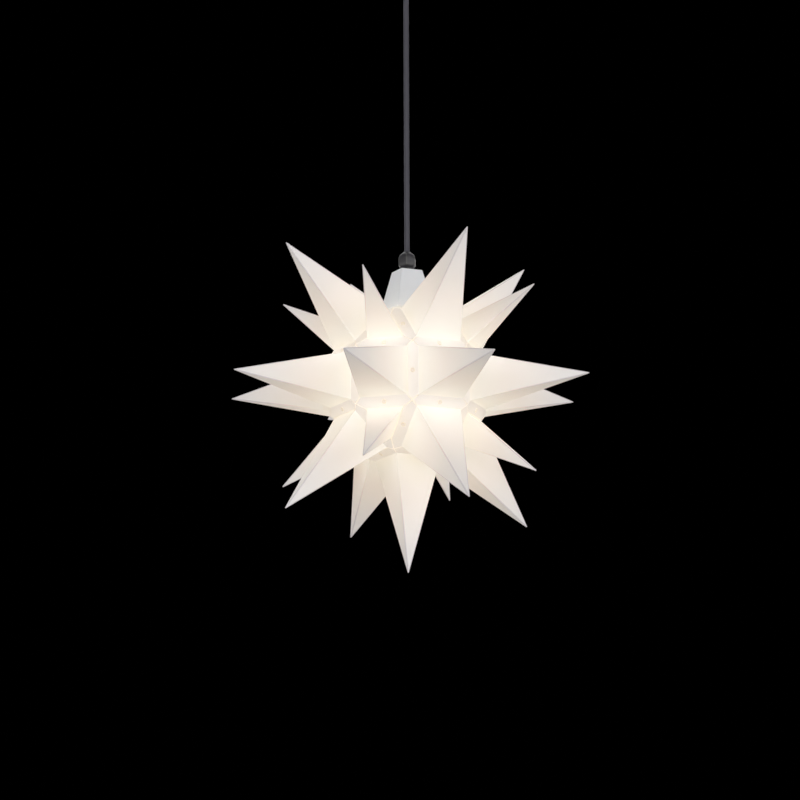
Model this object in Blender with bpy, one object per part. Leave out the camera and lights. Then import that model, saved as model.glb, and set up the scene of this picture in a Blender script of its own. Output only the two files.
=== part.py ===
"""A lit star of hollow plastic points, with its lamp, its cord and its ceiling fitting.

Metres, +Z up, -Y to the front. The ceiling is at Z = 0 and the star hangs below it on the Z axis.
"""

import math

import bmesh
import bpy
from mathutils import Matrix, Vector

# Gaps and cuts
TOUCH_GAP = 0.0003  # between separate pieces that touch on the real star
CUT_OVERRUN = 0.002  # how far a cutter passes what it cuts
TURNED_SIDES = 24  # facets round a turned piece, a multiple of 6
SMALL_TURNED_SIDES = 18  # facets round a small piece
THREAD_SIDES = 16
THREAD_STEPS = 5  # rings for each turn of a thread

# Star shell: a core of 18 squares and 8 triangles with one edge length, a point on each face
STAR_DROP = 0.510  # ceiling to the star's centre
TIP_REACH = 0.200  # star's centre to the tip of a four-sided point
CORNER_TIP_REACH = 0.173  # star's centre to the tip of a three-sided point
TIP_FLAT = 0.0005  # half-width of a point's blunt end
CORE_EDGE = 0.064  # edge length of the core
SEAM_HALF = 0.0054  # core edge to the wall of a four-sided point, along the seam
CORNER_SEAM_HALF = 0.0065  # core edge to the wall of a three-sided point, along the seam
SHELL_WALL = 0.001
SKIRT_DEPTH = 0.0008  # how far a point's wall passes its lower flange
FLANGE_END_GAP = 0.0004  # a flange's end to the neighbour's wall
MITRE_GAP = 0.0004  # between the mitred ends of two flanges
STUD_RADIUS = 0.0023
STUD_RISE = 0.0006  # a stud's top above the upper flange
STUD_CHAMFER = 0.0004
STUD_SIDES = 10

# Hood in place of the top point
HOOD_BASE_HALF = 0.0225
HOOD_TOP_HALF = 0.0123
HOOD_TOP = 0.1250  # star's centre to the hood's top face
HOOD_PLATE = 0.002

# Cable gland on the hood
GLAND_WASHER_RADIUS = 0.0078
GLAND_WASHER_THICKNESS = 0.0006
GLAND_COLLAR_HALF = 0.0075  # half of the hexagon across its flats
GLAND_COLLAR_HEIGHT = 0.0022
GLAND_NECK_RADIUS = 0.0060
GLAND_NECK_HEIGHT = 0.0075
GLAND_SHANK_RADIUS = 0.0049
GLAND_BORE = 0.0033
GLAND_NUT_HEIGHT = 0.0173
GLAND_NUT_FOOT_RADIUS = 0.0072
GLAND_NUT_HALF = 0.0088  # half of the nut's hexagon across its flats
GLAND_NUT_MOUTH_RADIUS = 0.0036
GLAND_NUT_FOOT_SHARE = 0.15  # heights on the nut's outside, as shares of its height
GLAND_NUT_WAIST_SHARE = 0.50
GLAND_NUT_SHOULDER_SHARE = 0.70
GLAND_NUT_CROWN_SHARE = 0.82
GLAND_NUT_DOME_SHARE = 0.885
GLAND_NUT_SHOULDER_HALF = 0.00785
GLAND_NUT_CROWN_RADIUS = 0.0072
GLAND_NUT_DOME_RADIUS = 0.0058
GLAND_SEAL_HEIGHT = 0.0030
LOCK_NUT_HALF = 0.0070
LOCK_NUT_HEIGHT = 0.0035

# Cord and its cores
CORD_RADIUS = 0.0028
CORD_POINT_SPACING = 0.014
CORD_BORE = CORD_RADIUS + TOUCH_GAP
CORE_RADIUS = 0.0010
CORE_OFFSET = 0.0013  # a core's centre from the cord's centre
CORE_REACH = 0.0055  # a core's end from the axis in the lampholder
CORD_TAIL_REACH = 0.0030  # how far the sheath passes the gland's shank
CORE_BEND_SHARES = (0.0, 0.25, 0.5, 0.75, 1.0)  # places along a core's bend

# Lampholder, hung on the gland's shank
HOLDER_DROP = 0.0170  # hood's top face to the lampholder's top
HOLDER_RADIUS = 0.0135
HOLDER_WALL = 0.0015
HOLDER_CAP_HEIGHT = 0.020
HOLDER_CAP_CROWN_RADIUS = 0.0095
HOLDER_CAP_SHOULDER = 0.005
HOLDER_CAP_PLATE = 0.0025
HOLDER_SHANK_REACH = 0.010  # how far the shank passes below the lampholder's top
HOLDER_SPIGOT_HEIGHT = 0.0042
HOLDER_SPIGOT_WALL = 0.0014
HOLDER_FOOT_RISE = 0.0007  # lamp cap's foot to the lampholder's foot
HOLDER_FOOT_CHAMFER = 0.0015
HOLDER_BORE = 0.0090
HOLDER_LEDGE_DROP = 0.0054  # top of the body's wall to the ledge that carries the insert
INSERT_HEIGHT = 0.0054
SOCKET_WALL = 0.0009
SOCKET_RIM = 0.0012  # height and reach of the socket shell's rim
SOCKET_FOOT_RISE = 0.0015  # lampholder's foot to the socket shell's foot
CENTRE_CONTACT_RADIUS = 0.0032
CENTRE_CONTACT_HEIGHT = 0.0015

# Screw thread of the lamp cap and the socket
THREAD_MEAN_RADIUS = 0.00655
THREAD_DEPTH_HALF = 0.0004
THREAD_PITCH = 0.00282
THREAD_CLEARANCE = 0.0005

# Lamp, measured down from the tip of its centre contact
TIP_CONTACT_RADIUS = 0.0024
TIP_CONTACT_HEIGHT = 0.0012
TIP_CONTACT_CROWN = 0.0016
INSULATOR_TOP_RADIUS = 0.0030
INSULATOR_CONE = 0.0027
INSULATOR_SPIGOT = 0.0028
LAMP_CAP_BORE = 0.0056
LAMP_CAP_HEIGHT = 0.0190
LAMP_CAP_LEAD = 0.0010  # plain length at each end of the thread
LAMP_CAP_FLARE_RADIUS = 0.0072
LAMP_CAP_FLARE_HEIGHT = 0.0020
HOUSING_HEIGHT = 0.0158
HOUSING_NECK_RADIUS = 0.0078
HOUSING_NECK_HEIGHT = 0.0024
HOUSING_RADIUS = 0.0153
HOUSING_SHOULDER_RADIUS = 0.0139
HOUSING_SHOULDER = 0.0036  # height of the last, steeper band
HOUSING_WALL = 0.0013
HOUSING_SPIGOT_HEIGHT = 0.0065
HOUSING_LEDGE = 0.0125  # inner radius of the rim that the lamp's board lies on
BOARD_RADIUS = 0.0138
BOARD_THICKNESS = 0.0012
DRIVER_HALF_WIDTH = 0.0035
DRIVER_HALF_THICKNESS = 0.0006
DRIVER_HEAD_GAP = 0.0050  # top of the driver board below the insulator
GLOBE_RADIUS = 0.0225
GLOBE_WALL = 0.0012
GLOBE_ARC_STEPS = 9

# Ceiling fitting
CANOPY_RADIUS = 0.045
CANOPY_WALL = 0.0015
CANOPY_HEIGHT = 0.040
CANOPY_SIDE_HEIGHT = 0.025
CANOPY_FLOOR_RADIUS = 0.018
CANOPY_RIM_GAP = 0.0005  # ceiling to the canopy's rim
CANOPY_BEND_SHARE = 0.55  # the bend of the canopy's slope, along its radius and height
PLATE_THICKNESS = 0.002
PLATE_SCREW_SPACING = 0.048  # between the two holes for ceiling screws
PLATE_SCREW_HOLE = 0.0023
CABLE_HOLE = 0.0060
CABLE_HOLE_OFFSET = 0.020  # behind the plate's centre
LUG_HALF_WIDTH = 0.006
LUG_DEPTH = 0.018
LUG_THICKNESS = 0.002
LUG_INSET = 0.001  # the plate's rim to the lug's outer face
CANOPY_SCREW_RADIUS = 0.0014
CANOPY_SCREW_HEAD_RADIUS = 0.0032
CANOPY_SCREW_HEAD = 0.0018
CANOPY_SCREW_DROP = 0.011  # ceiling to the screws' axis
GRIP_RADIUS = 0.008
GRIP_COLLAR_HEIGHT = 0.0065
GRIP_TUBE_RADIUS = 0.0050
GRIP_TUBE_HEIGHT = 0.0140
GRIP_NUT_HALF = 0.0080
GRIP_NUT_HEIGHT = 0.0040
SOCKET_LIP_RISE = 0.0014  # the grip's foot above the centre of the strain relief's ball
BALL_RADIUS = 0.0047
BALL_ARC_STEPS = 5
BOOT_LENGTH = 0.032  # the ball's centre to the strain relief's foot
BOOT_FOOT_RADIUS = 0.0036
BOOT_RIB_COUNT = 5
BOOT_RIB_DEPTH = 0.0004
SWAY_GAP = 0.0009  # strain relief's foot to the cord's end, so that the cord can swing
CORD_TOP_REACH = 0.021  # how far the sheath passes into the canopy
BLOCK_SIZE = (0.024, 0.014, 0.012)  # terminal block's width, depth and height
BLOCK_OFFSET = 0.0120  # in front of the plate's centre
BLOCK_WIRE_HOLE = 0.0016
BLOCK_WIRE_SPACING = 0.010
BLOCK_SCREW_HOLE = 0.0014

# Core geometry: every seam lies square to the line from the star's centre to an edge's middle
MID_RADIUS = CORE_EDGE * math.sqrt(4 + 2 * math.sqrt(2)) / 2
SQUARE_TILT = math.pi / 8
CORNER_TILT = math.acos(CORE_EDGE * (3 + math.sqrt(2)) / (2 * math.sqrt(3)) / MID_RADIUS)
SEAM_PLANE = MID_RADIUS - SEAM_HALF * math.tan(SQUARE_TILT)
SEAM_LENGTH_HALF = SEAM_PLANE * CORE_EDGE / 2 / MID_RADIUS
HOOD_SEAM_HALF = (SEAM_PLANE * math.sin(SQUARE_TILT) - HOOD_BASE_HALF) / math.cos(SQUARE_TILT)

# A flange lies above or below its seam's middle plane
UPPER = (TOUCH_GAP / 2, TOUCH_GAP / 2 + SHELL_WALL)
LOWER = (-TOUCH_GAP / 2 - SHELL_WALL, -TOUCH_GAP / 2)

# Heights above the star's centre
GLAND_FOOT = HOOD_TOP + 2 * TOUCH_GAP + GLAND_WASHER_THICKNESS
GLAND_COLLAR_TOP = GLAND_FOOT + GLAND_COLLAR_HEIGHT
GLAND_NECK_TOP = GLAND_COLLAR_TOP + GLAND_NECK_HEIGHT
GLAND_NUT_FOOT = GLAND_COLLAR_TOP + TOUCH_GAP
GLAND_TOP = GLAND_NUT_FOOT + GLAND_NUT_HEIGHT
HOLDER_TOP = HOOD_TOP - HOLDER_DROP
SHANK_FOOT = HOLDER_TOP - HOLDER_SHANK_REACH
HOLDER_CAP_FOOT = HOLDER_TOP - HOLDER_CAP_HEIGHT
HOLDER_BODY_TOP = HOLDER_CAP_FOOT - TOUCH_GAP
HOLDER_LEDGE = HOLDER_BODY_TOP - HOLDER_LEDGE_DROP
INSERT_FOOT = HOLDER_LEDGE + TOUCH_GAP
CONTACT_TOP = INSERT_FOOT - TOUCH_GAP
LAMP_TIP = CONTACT_TOP - CENTRE_CONTACT_HEIGHT - TOUCH_GAP
CORD_TAIL_FOOT = SHANK_FOOT - CORD_TAIL_REACH

# Heights below the lamp's tip
INSULATOR_TOP = -TIP_CONTACT_HEIGHT - TOUCH_GAP
LAMP_CAP_TOP = INSULATOR_TOP - INSULATOR_CONE - TOUCH_GAP
LAMP_CAP_FOOT = LAMP_CAP_TOP - LAMP_CAP_HEIGHT
HOUSING_TOP = LAMP_CAP_FOOT - TOUCH_GAP
HOUSING_FOOT = HOUSING_TOP - HOUSING_HEIGHT
BOARD_TOP = HOUSING_FOOT - TOUCH_GAP
GLOBE_RIM_RADIUS = BOARD_RADIUS + TOUCH_GAP + GLOBE_WALL
GLOBE_CENTRE = BOARD_TOP - math.sqrt(GLOBE_RADIUS**2 - GLOBE_RIM_RADIUS**2)
HOLDER_FOOT = LAMP_TIP + LAMP_CAP_FOOT + HOLDER_FOOT_RISE  # above the star's centre

# Heights below the ceiling
CANOPY_FOOT = -CANOPY_HEIGHT
GRIP_COLLAR_TOP = CANOPY_FOOT - TOUCH_GAP
GRIP_FOOT = GRIP_COLLAR_TOP - GRIP_COLLAR_HEIGHT
SWING_HEIGHT = GRIP_FOOT - SOCKET_LIP_RISE
SWAY_HEIGHT = SWING_HEIGHT - BOOT_LENGTH - SWAY_GAP
TWIST_HEIGHT = GLAND_TOP - STAR_DROP
CORD_LENGTH = SWAY_HEIGHT - TWIST_HEIGHT - TOUCH_GAP
CORD_TOP_HEAD = GRIP_FOOT + CORD_TOP_REACH
PLATE_RADIUS = CANOPY_RADIUS - CANOPY_WALL - TOUCH_GAP

SMOOTH_ANGLE = math.radians(30)


class Face:
    """What a point or the hood needs to know of the core's face that it stands on."""

    def __init__(self, sides, tilt, seam_half, top, top_half):
        self.sides = sides
        self.tilt = tilt  # between the face and its seams
        self.seam_half = seam_half
        self.top = top
        self.top_half = top_half
        self.base_half = SEAM_PLANE * math.sin(tilt) - seam_half * math.cos(tilt)
        self.base = SEAM_PLANE * math.cos(tilt) + seam_half * math.sin(tilt)
        self.slope = (self.base_half - top_half) / (top - self.base)
        self.lean = math.atan(self.slope)
        self.foot = self.base - (SHELL_WALL + TOUCH_GAP / 2) / math.cos(tilt) - SKIRT_DEPTH
        self.mitre = math.cos(tilt) * math.tan(math.pi / sides)  # a seam's taper at this face

    def half_at(self, height):
        return self.top_half + (self.top - height) * self.slope


POINT_FACE = Face(4, SQUARE_TILT, SEAM_HALF, TIP_REACH, TIP_FLAT)
CORNER_FACE = Face(3, CORNER_TILT, CORNER_SEAM_HALF, CORNER_TIP_REACH, TIP_FLAT)
HOOD_FACE = Face(4, SQUARE_TILT, HOOD_SEAM_HALF, HOOD_TOP, HOOD_TOP_HALF)


def clear_scene():
    for item in list(bpy.data.objects):
        bpy.data.objects.remove(item, do_unlink=True)


def make_material(name, colour, roughness, metallic=0.0):
    material = bpy.data.materials.new(name)
    material.use_nodes = True
    shader = material.node_tree.nodes["Principled BSDF"]
    shader.inputs["Base Color"].default_value = (*colour, 1.0)
    shader.inputs["Roughness"].default_value = roughness
    shader.inputs["Metallic"].default_value = metallic
    return material


def make_materials():
    return {
        "star": make_material("star plastic", (0.90, 0.88, 0.84), 0.45),
        "gland": make_material("dark grey plastic", (0.055, 0.052, 0.060), 0.50),
        "rubber": make_material("black rubber", (0.02, 0.02, 0.02), 0.80),
        "cord": make_material("cord sheath", (0.065, 0.062, 0.082), 0.55),
        "brown": make_material("brown core", (0.17, 0.08, 0.04), 0.50),
        "blue": make_material("blue core", (0.03, 0.14, 0.45), 0.50),
        "holder": make_material("lampholder plastic", (0.80, 0.79, 0.76), 0.40),
        "ceramic": make_material("lampholder ceramic", (0.85, 0.84, 0.80), 0.30),
        "brass": make_material("brass", (0.78, 0.60, 0.28), 0.30, 1.0),
        "nickel": make_material("nickel plate", (0.66, 0.64, 0.60), 0.28, 1.0),
        "lamp_black": make_material("lamp insulator", (0.03, 0.03, 0.035), 0.25),
        "lamp_white": make_material("lamp housing", (0.88, 0.88, 0.87), 0.35),
        "lamp_board": make_material("lamp board", (0.75, 0.76, 0.74), 0.45),
        "lamp_globe": make_material("lamp globe", (0.95, 0.92, 0.85), 0.40),
        "canopy": make_material("canopy plastic", (0.80, 0.80, 0.79), 0.40),
        "steel": make_material("zinc plated steel", (0.62, 0.63, 0.64), 0.35, 1.0),
    }


def link(name, data):
    item = bpy.data.objects.new(name, data)
    bpy.context.collection.objects.link(item)
    return item


def finish_mesh(build, name, material):
    """Turns a bmesh into an object with outward faces and smooth round sides."""
    bmesh.ops.recalc_face_normals(build, faces=build.faces)
    mesh = bpy.data.meshes.new(name)
    build.to_mesh(mesh)
    build.free()
    mesh.materials.append(material)
    mesh.shade_smooth()
    mesh.set_sharp_from_angle(angle=SMOOTH_ANGLE)
    return link(name, mesh)


def skin(name, rings, closed, material):
    """Joins rings of points one after another. A chain that isn't closed gets flat ends."""
    build = bmesh.new()
    rows = [[build.verts.new(point) for point in ring] for ring in rings]
    sides = max(len(row) for row in rows)
    for near, far in zip(rows, rows[1:] + rows[:1] if closed else rows[1:]):
        for step in range(sides):
            corners = [
                near[step % len(near)],
                near[(step + 1) % len(near)],
                far[(step + 1) % len(far)],
                far[step % len(far)],
            ]
            corners = list(dict.fromkeys(corners))
            if len(corners) > 2:
                build.faces.new(corners)
    if not closed:
        for row in (rows[0], rows[-1]):
            if len(row) > 2:
                build.faces.new(row)
    return finish_mesh(build, name, material)


def turned(name, section, material, sides=TURNED_SIDES, closed=True):
    """Sweeps a section round Z. A section point is (radius, height).

    A closed section makes a ring, an open one a solid piece with flat ends. The radius may be a
    function of the angle, as for a hexagon or a screw thread.
    """
    rings = []
    for radius, height in section:
        if not callable(radius) and radius == 0:
            rings.append([(0, 0, height)])
            continue
        ring = []
        for step in range(sides):
            angle = 2 * math.pi * step / sides
            reach = radius(angle) if callable(radius) else radius
            ring.append((reach * math.cos(angle), reach * math.sin(angle), height))
        rings.append(ring)
    return skin(name, rings, closed, material)


def hexagon(half_width):
    """The radius of a hexagon, with a corner at angle 0, for the turned function."""

    def radius(angle):
        return half_width / math.cos(angle % (math.pi / 3) - math.pi / 6)

    return radius


def ring_points(sides, half_width, height):
    """Corners of a regular outline whose side 0 faces +X."""
    reach = half_width / math.cos(math.pi / sides)
    angles = [2 * math.pi * (side + 0.5) / sides for side in range(sides)]
    return [(reach * math.cos(angle), reach * math.sin(angle), height) for angle in angles]


def prism(name, outline, low, high, material, matrix=None):
    """Extrudes a flat outline of (x, y) from low to high, then places it by a matrix."""
    build = bmesh.new()
    bottom = [build.verts.new((x, y, low)) for x, y in outline]
    face = build.faces.new(bottom)
    lifted = bmesh.ops.extrude_face_region(build, geom=[face])["geom"]
    top = [item for item in lifted if isinstance(item, bmesh.types.BMVert)]
    bmesh.ops.translate(build, verts=top, vec=(0, 0, high - low))
    if matrix:
        bmesh.ops.transform(build, matrix=matrix, verts=build.verts)
    return finish_mesh(build, name, material)


def block(name, low, high, material):
    outline = [(low[0], low[1]), (high[0], low[1]), (high[0], high[1]), (low[0], high[1])]
    return prism(name, outline, low[2], high[2], material)


def round_outline(radius, sides, centre=(0, 0)):
    angles = [2 * math.pi * step / sides for step in range(sides)]
    return [
        (centre[0] + radius * math.cos(angle), centre[1] + radius * math.sin(angle))
        for angle in angles
    ]


def reshape(item, steps):
    """Unites or cuts an object with others in turn, keeps the result and deletes the others."""
    for operation, other in steps:
        modifier = item.modifiers.new(other.name, "BOOLEAN")
        modifier.operation = operation
        modifier.solver = "EXACT"
        modifier.object = other
    graph = bpy.context.evaluated_depsgraph_get()
    mesh = bpy.data.meshes.new_from_object(item.evaluated_get(graph))
    item.modifiers.clear()
    material = item.data.materials[0]
    item.data = mesh
    mesh.materials.clear()
    mesh.materials.append(material)
    for _, other in steps:
        bpy.data.objects.remove(other, do_unlink=True)
    return item


def tube(name, points, radius, material, sides_level):
    """A round cord through its points, with closed ends."""
    curve = bpy.data.curves.new(name, "CURVE")
    curve.dimensions = "3D"
    spline = curve.splines.new("POLY")
    spline.points.add(len(points) - 1)
    for knot, point in zip(spline.points, points):
        knot.co = (*point, 1.0)
    curve.bevel_depth = radius
    curve.bevel_resolution = sides_level
    curve.use_fill_caps = True
    curve.materials.append(material)
    return link(name, curve)


def straight_cord(name, top, foot, material):
    count = max(1, round((top - foot) / CORD_POINT_SPACING))
    points = [(0, 0, top + (foot - top) * step / count) for step in range(count + 1)]
    return tube(name, points, CORD_RADIUS, material, 4)


def pivot(name, parent, height):
    empty = link(name, None)
    empty.parent = parent
    empty.location = (0, 0, height)
    return empty


def hang(items, parent, height=0.0):
    for item in items:
        item.parent = parent
        item.location = (0, 0, height)


def seam_frame(face, side):
    """The frame of one seam beside a face: X along it, Y away from the face, Z out of the star."""
    angle = 2 * math.pi * side / face.sides
    out = Vector((math.cos(angle), math.sin(angle), 0))
    up = Vector((0, 0, 1))
    normal = up * math.cos(face.tilt) + out * math.sin(face.tilt)
    across = out * math.cos(face.tilt) - up * math.sin(face.tilt)
    along = across.cross(normal)
    frame = Matrix((along, across, normal)).transposed().to_4x4()
    frame.translation = normal * SEAM_PLANE
    return frame


def flange_outline(face, neighbour, level):
    """The outline of a flange from inside its own wall to just short of the neighbour's wall."""
    low, high = level
    middle = SEAM_LENGTH_HALF * (SEAM_PLANE + low) / SEAM_PLANE

    def half_length(across):
        taper = face.mitre if across < 0 else neighbour.mitre
        return middle - taper * abs(across) - MITRE_GAP / 2 * math.hypot(1, taper)

    own_lean = math.tan(face.tilt + face.lean)
    root = -face.seam_half - (low + high) / 2 * own_lean - SHELL_WALL / 2
    wall = -face.seam_half
    end = neighbour.seam_half - FLANGE_END_GAP
    end -= max(0, -low) * math.tan(neighbour.tilt + neighbour.lean)
    edge = [(half_length(wall) - SHELL_WALL / 2, root)]
    edge += [(half_length(across), across) for across in (wall, 0, end)]
    return edge + [(-along, across) for along, across in reversed(edge)]


def add_flanges(item, face, neighbours, material):
    """Adds a flange on each side. An upper flange has a hole, a lower one a stud that fills it."""
    steps = []
    for side, (neighbour, level) in enumerate(neighbours):
        frame = seam_frame(face, side)
        outline = flange_outline(face, neighbour, level)
        flange = prism(f"flange {side}", outline, level[0], level[1], material, frame)
        steps.append(("UNION", flange))
        if level == UPPER:
            outline = round_outline(STUD_RADIUS + TOUCH_GAP, STUD_SIDES)
            low, high = level[0] - CUT_OVERRUN, level[1] + CUT_OVERRUN
            steps.append(("DIFFERENCE", prism(f"hole {side}", outline, low, high, material, frame)))
        else:
            steps.append(("UNION", make_stud(f"stud {side}", material, frame)))
    return reshape(item, steps)


def make_stud(name, material, frame):
    """A press stud that starts inside its lower flange and ends above the upper one."""
    root = (LOWER[0] + LOWER[1]) / 2
    top = UPPER[1] + STUD_RISE
    section = [
        (STUD_RADIUS, root),
        (STUD_RADIUS, top - STUD_CHAMFER),
        (STUD_RADIUS - STUD_CHAMFER, top),
    ]
    stud = turned(name, section, material, STUD_SIDES, closed=False)
    stud.data.transform(frame)
    return stud


def make_point(name, face, neighbours, material):
    """A hollow point: an open pyramid with a thin wall and a flange on each side."""
    wall = SHELL_WALL / math.cos(face.lean)
    inner_tip = face.top - (wall - face.top_half) / face.slope
    rings = [
        ring_points(face.sides, face.top_half, face.top),
        ring_points(face.sides, face.half_at(face.foot), face.foot),
        ring_points(face.sides, face.half_at(face.foot) - wall, face.foot),
        [(0, 0, inner_tip)],
    ]
    item = skin(name, rings, False, material)
    return add_flanges(item, face, neighbours, material)


def make_hood(material):
    """The hollow hood that closes the star's top and carries its weight on the gland."""
    face = HOOD_FACE
    wall = SHELL_WALL / math.cos(face.lean)
    ceiling = HOOD_TOP - HOOD_PLATE
    rings = [
        ring_points(4, HOOD_TOP_HALF, HOOD_TOP),
        ring_points(4, face.half_at(face.foot), face.foot),
        ring_points(4, face.half_at(face.foot) - wall, face.foot),
        ring_points(4, face.half_at(ceiling) - wall, ceiling),
    ]
    hood = skin("hood", rings, False, material)
    add_flanges(hood, face, [(POINT_FACE, UPPER)] * 4, material)
    outline = round_outline(GLAND_SHANK_RADIUS + TOUCH_GAP, TURNED_SIDES)
    hole = prism("gland hole", outline, ceiling - CUT_OVERRUN, HOOD_TOP + CUT_OVERRUN, material)
    return reshape(hood, [("DIFFERENCE", hole)])


def side_words(direction):
    """The words for a direction, such as upper_front_left."""
    words = [
        {1: "upper", -1: "lower"}.get(direction[2]),
        {1: "back", -1: "front"}.get(direction[1]),
        {1: "right", -1: "left"}.get(direction[0]),
    ]
    return "_".join(word for word in words if word)


def turn_to(direction, side_direction):
    """The rotation that points Z along a direction and X as near as can be to another."""
    normal = Vector(direction).normalized()
    side = Vector(side_direction)
    side = (side - normal * side.dot(normal)).normalized()
    return Matrix((side, normal.cross(side), normal)).transposed().to_quaternion()


def star_points(parent, material):
    """Every point of the star. Points of one kind share their mesh."""
    axis_mesh = None
    edge_mesh = None
    corner_mesh = None
    signs = (-1, 0, 1)
    directions = [(x, y, z) for z in signs for y in signs for x in signs]
    for direction in directions:
        count = sum(abs(part) for part in direction)
        if count == 0 or direction == (0, 0, 1):
            continue
        if count == 1:
            name = "point_" + side_words(direction)
            beside = (0, 0, 1) if direction[2] == 0 else (1, 0, 0)
            if axis_mesh is None:
                item = make_point(name, POINT_FACE, [(POINT_FACE, UPPER)] * 4, material)
                axis_mesh = item.data
            else:
                item = link(name, axis_mesh)
        elif count == 2:
            name = "point_" + side_words(direction)
            beside = next(
                tuple(part if place == at else 0 for place, part in enumerate(direction))
                for at in range(3)
                if direction[at]
            )
            if edge_mesh is None:
                neighbours = [(POINT_FACE, LOWER), (CORNER_FACE, UPPER)] * 2
                item = make_point(name, POINT_FACE, neighbours, material)
                edge_mesh = item.data
            else:
                item = link(name, edge_mesh)
        else:
            name = "corner_point_" + side_words(direction)
            beside = (direction[0], direction[1], 0)
            if corner_mesh is None:
                item = make_point(name, CORNER_FACE, [(POINT_FACE, LOWER)] * 3, material)
                corner_mesh = item.data
            else:
                item = link(name, corner_mesh)
        hang([item], parent)
        item.rotation_mode = "QUATERNION"
        item.rotation_quaternion = turn_to(direction, beside)


def gland_pieces(materials):
    """Washer, body, seal, cap nut and lock nut, from the hood's top face."""
    hole = GLAND_SHANK_RADIUS + TOUCH_GAP
    washer_foot = HOOD_TOP + TOUCH_GAP
    washer_top = washer_foot + GLAND_WASHER_THICKNESS
    washer_section = [
        (hole, washer_foot),
        (GLAND_WASHER_RADIUS, washer_foot),
        (GLAND_WASHER_RADIUS, washer_top),
        (hole, washer_top),
    ]
    washer = turned("gland_washer", washer_section, materials["rubber"])
    body_section = [
        (GLAND_BORE, SHANK_FOOT),
        (GLAND_SHANK_RADIUS, SHANK_FOOT),
        (GLAND_SHANK_RADIUS, GLAND_FOOT),
        (hexagon(GLAND_COLLAR_HALF), GLAND_FOOT),
        (hexagon(GLAND_COLLAR_HALF), GLAND_COLLAR_TOP),
        (GLAND_NECK_RADIUS, GLAND_COLLAR_TOP),
        (GLAND_NECK_RADIUS, GLAND_NECK_TOP),
        (GLAND_BORE, GLAND_NECK_TOP),
    ]
    body = turned("gland_body", body_section, materials["gland"])
    seal_foot = GLAND_NECK_TOP + TOUCH_GAP
    seal_top = seal_foot + GLAND_SEAL_HEIGHT
    seal_section = [
        (CORD_BORE, seal_foot),
        (GLAND_NECK_RADIUS, seal_foot),
        (GLAND_NECK_RADIUS, seal_top),
        (CORD_BORE, seal_top),
    ]
    seal = turned("gland_seal", seal_section, materials["rubber"])
    nut = cap_nut(seal_top + TOUCH_GAP, materials["gland"])
    lock_top = HOOD_TOP - HOOD_PLATE - TOUCH_GAP
    lock_foot = lock_top - LOCK_NUT_HEIGHT
    lock_section = [
        (hole, lock_foot),
        (hexagon(LOCK_NUT_HALF), lock_foot),
        (hexagon(LOCK_NUT_HALF), lock_top),
        (hole, lock_top),
    ]
    lock_nut = turned("gland_lock_nut", lock_section, materials["gland"])
    return [washer, body, seal, nut, lock_nut]


def cap_nut(cavity_top, material):
    """The gland's domed hexagonal cap nut, hollow over the neck and the seal."""
    cavity = GLAND_NECK_RADIUS + TOUCH_GAP

    def up(share):
        return GLAND_NUT_FOOT + GLAND_NUT_HEIGHT * share

    section = [
        (cavity, GLAND_NUT_FOOT),
        (GLAND_NUT_FOOT_RADIUS, GLAND_NUT_FOOT),
        (hexagon(GLAND_NUT_HALF), up(GLAND_NUT_FOOT_SHARE)),
        (hexagon(GLAND_NUT_HALF), up(GLAND_NUT_WAIST_SHARE)),
        (hexagon(GLAND_NUT_SHOULDER_HALF), up(GLAND_NUT_SHOULDER_SHARE)),
        (GLAND_NUT_CROWN_RADIUS, up(GLAND_NUT_CROWN_SHARE)),
        (GLAND_NUT_DOME_RADIUS, up(GLAND_NUT_DOME_SHARE)),
        (GLAND_NUT_MOUTH_RADIUS, GLAND_TOP),
        (CORD_BORE, GLAND_TOP),
        (CORD_BORE, cavity_top),
        (cavity, cavity_top),
    ]
    return turned("gland_cap_nut", section, material)


def bent_core(name, side, top, foot, reach, material):
    """A core that leaves the sheath and bends outwards to its terminal."""
    points = []
    for share in CORE_BEND_SHARES:
        blend = share * share * (3 - 2 * share)
        points.append((side * (CORE_OFFSET + (reach - CORE_OFFSET) * blend), 0, top + (foot - top) * share))
    return tube(name, points, CORE_RADIUS, material, 2)


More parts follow.
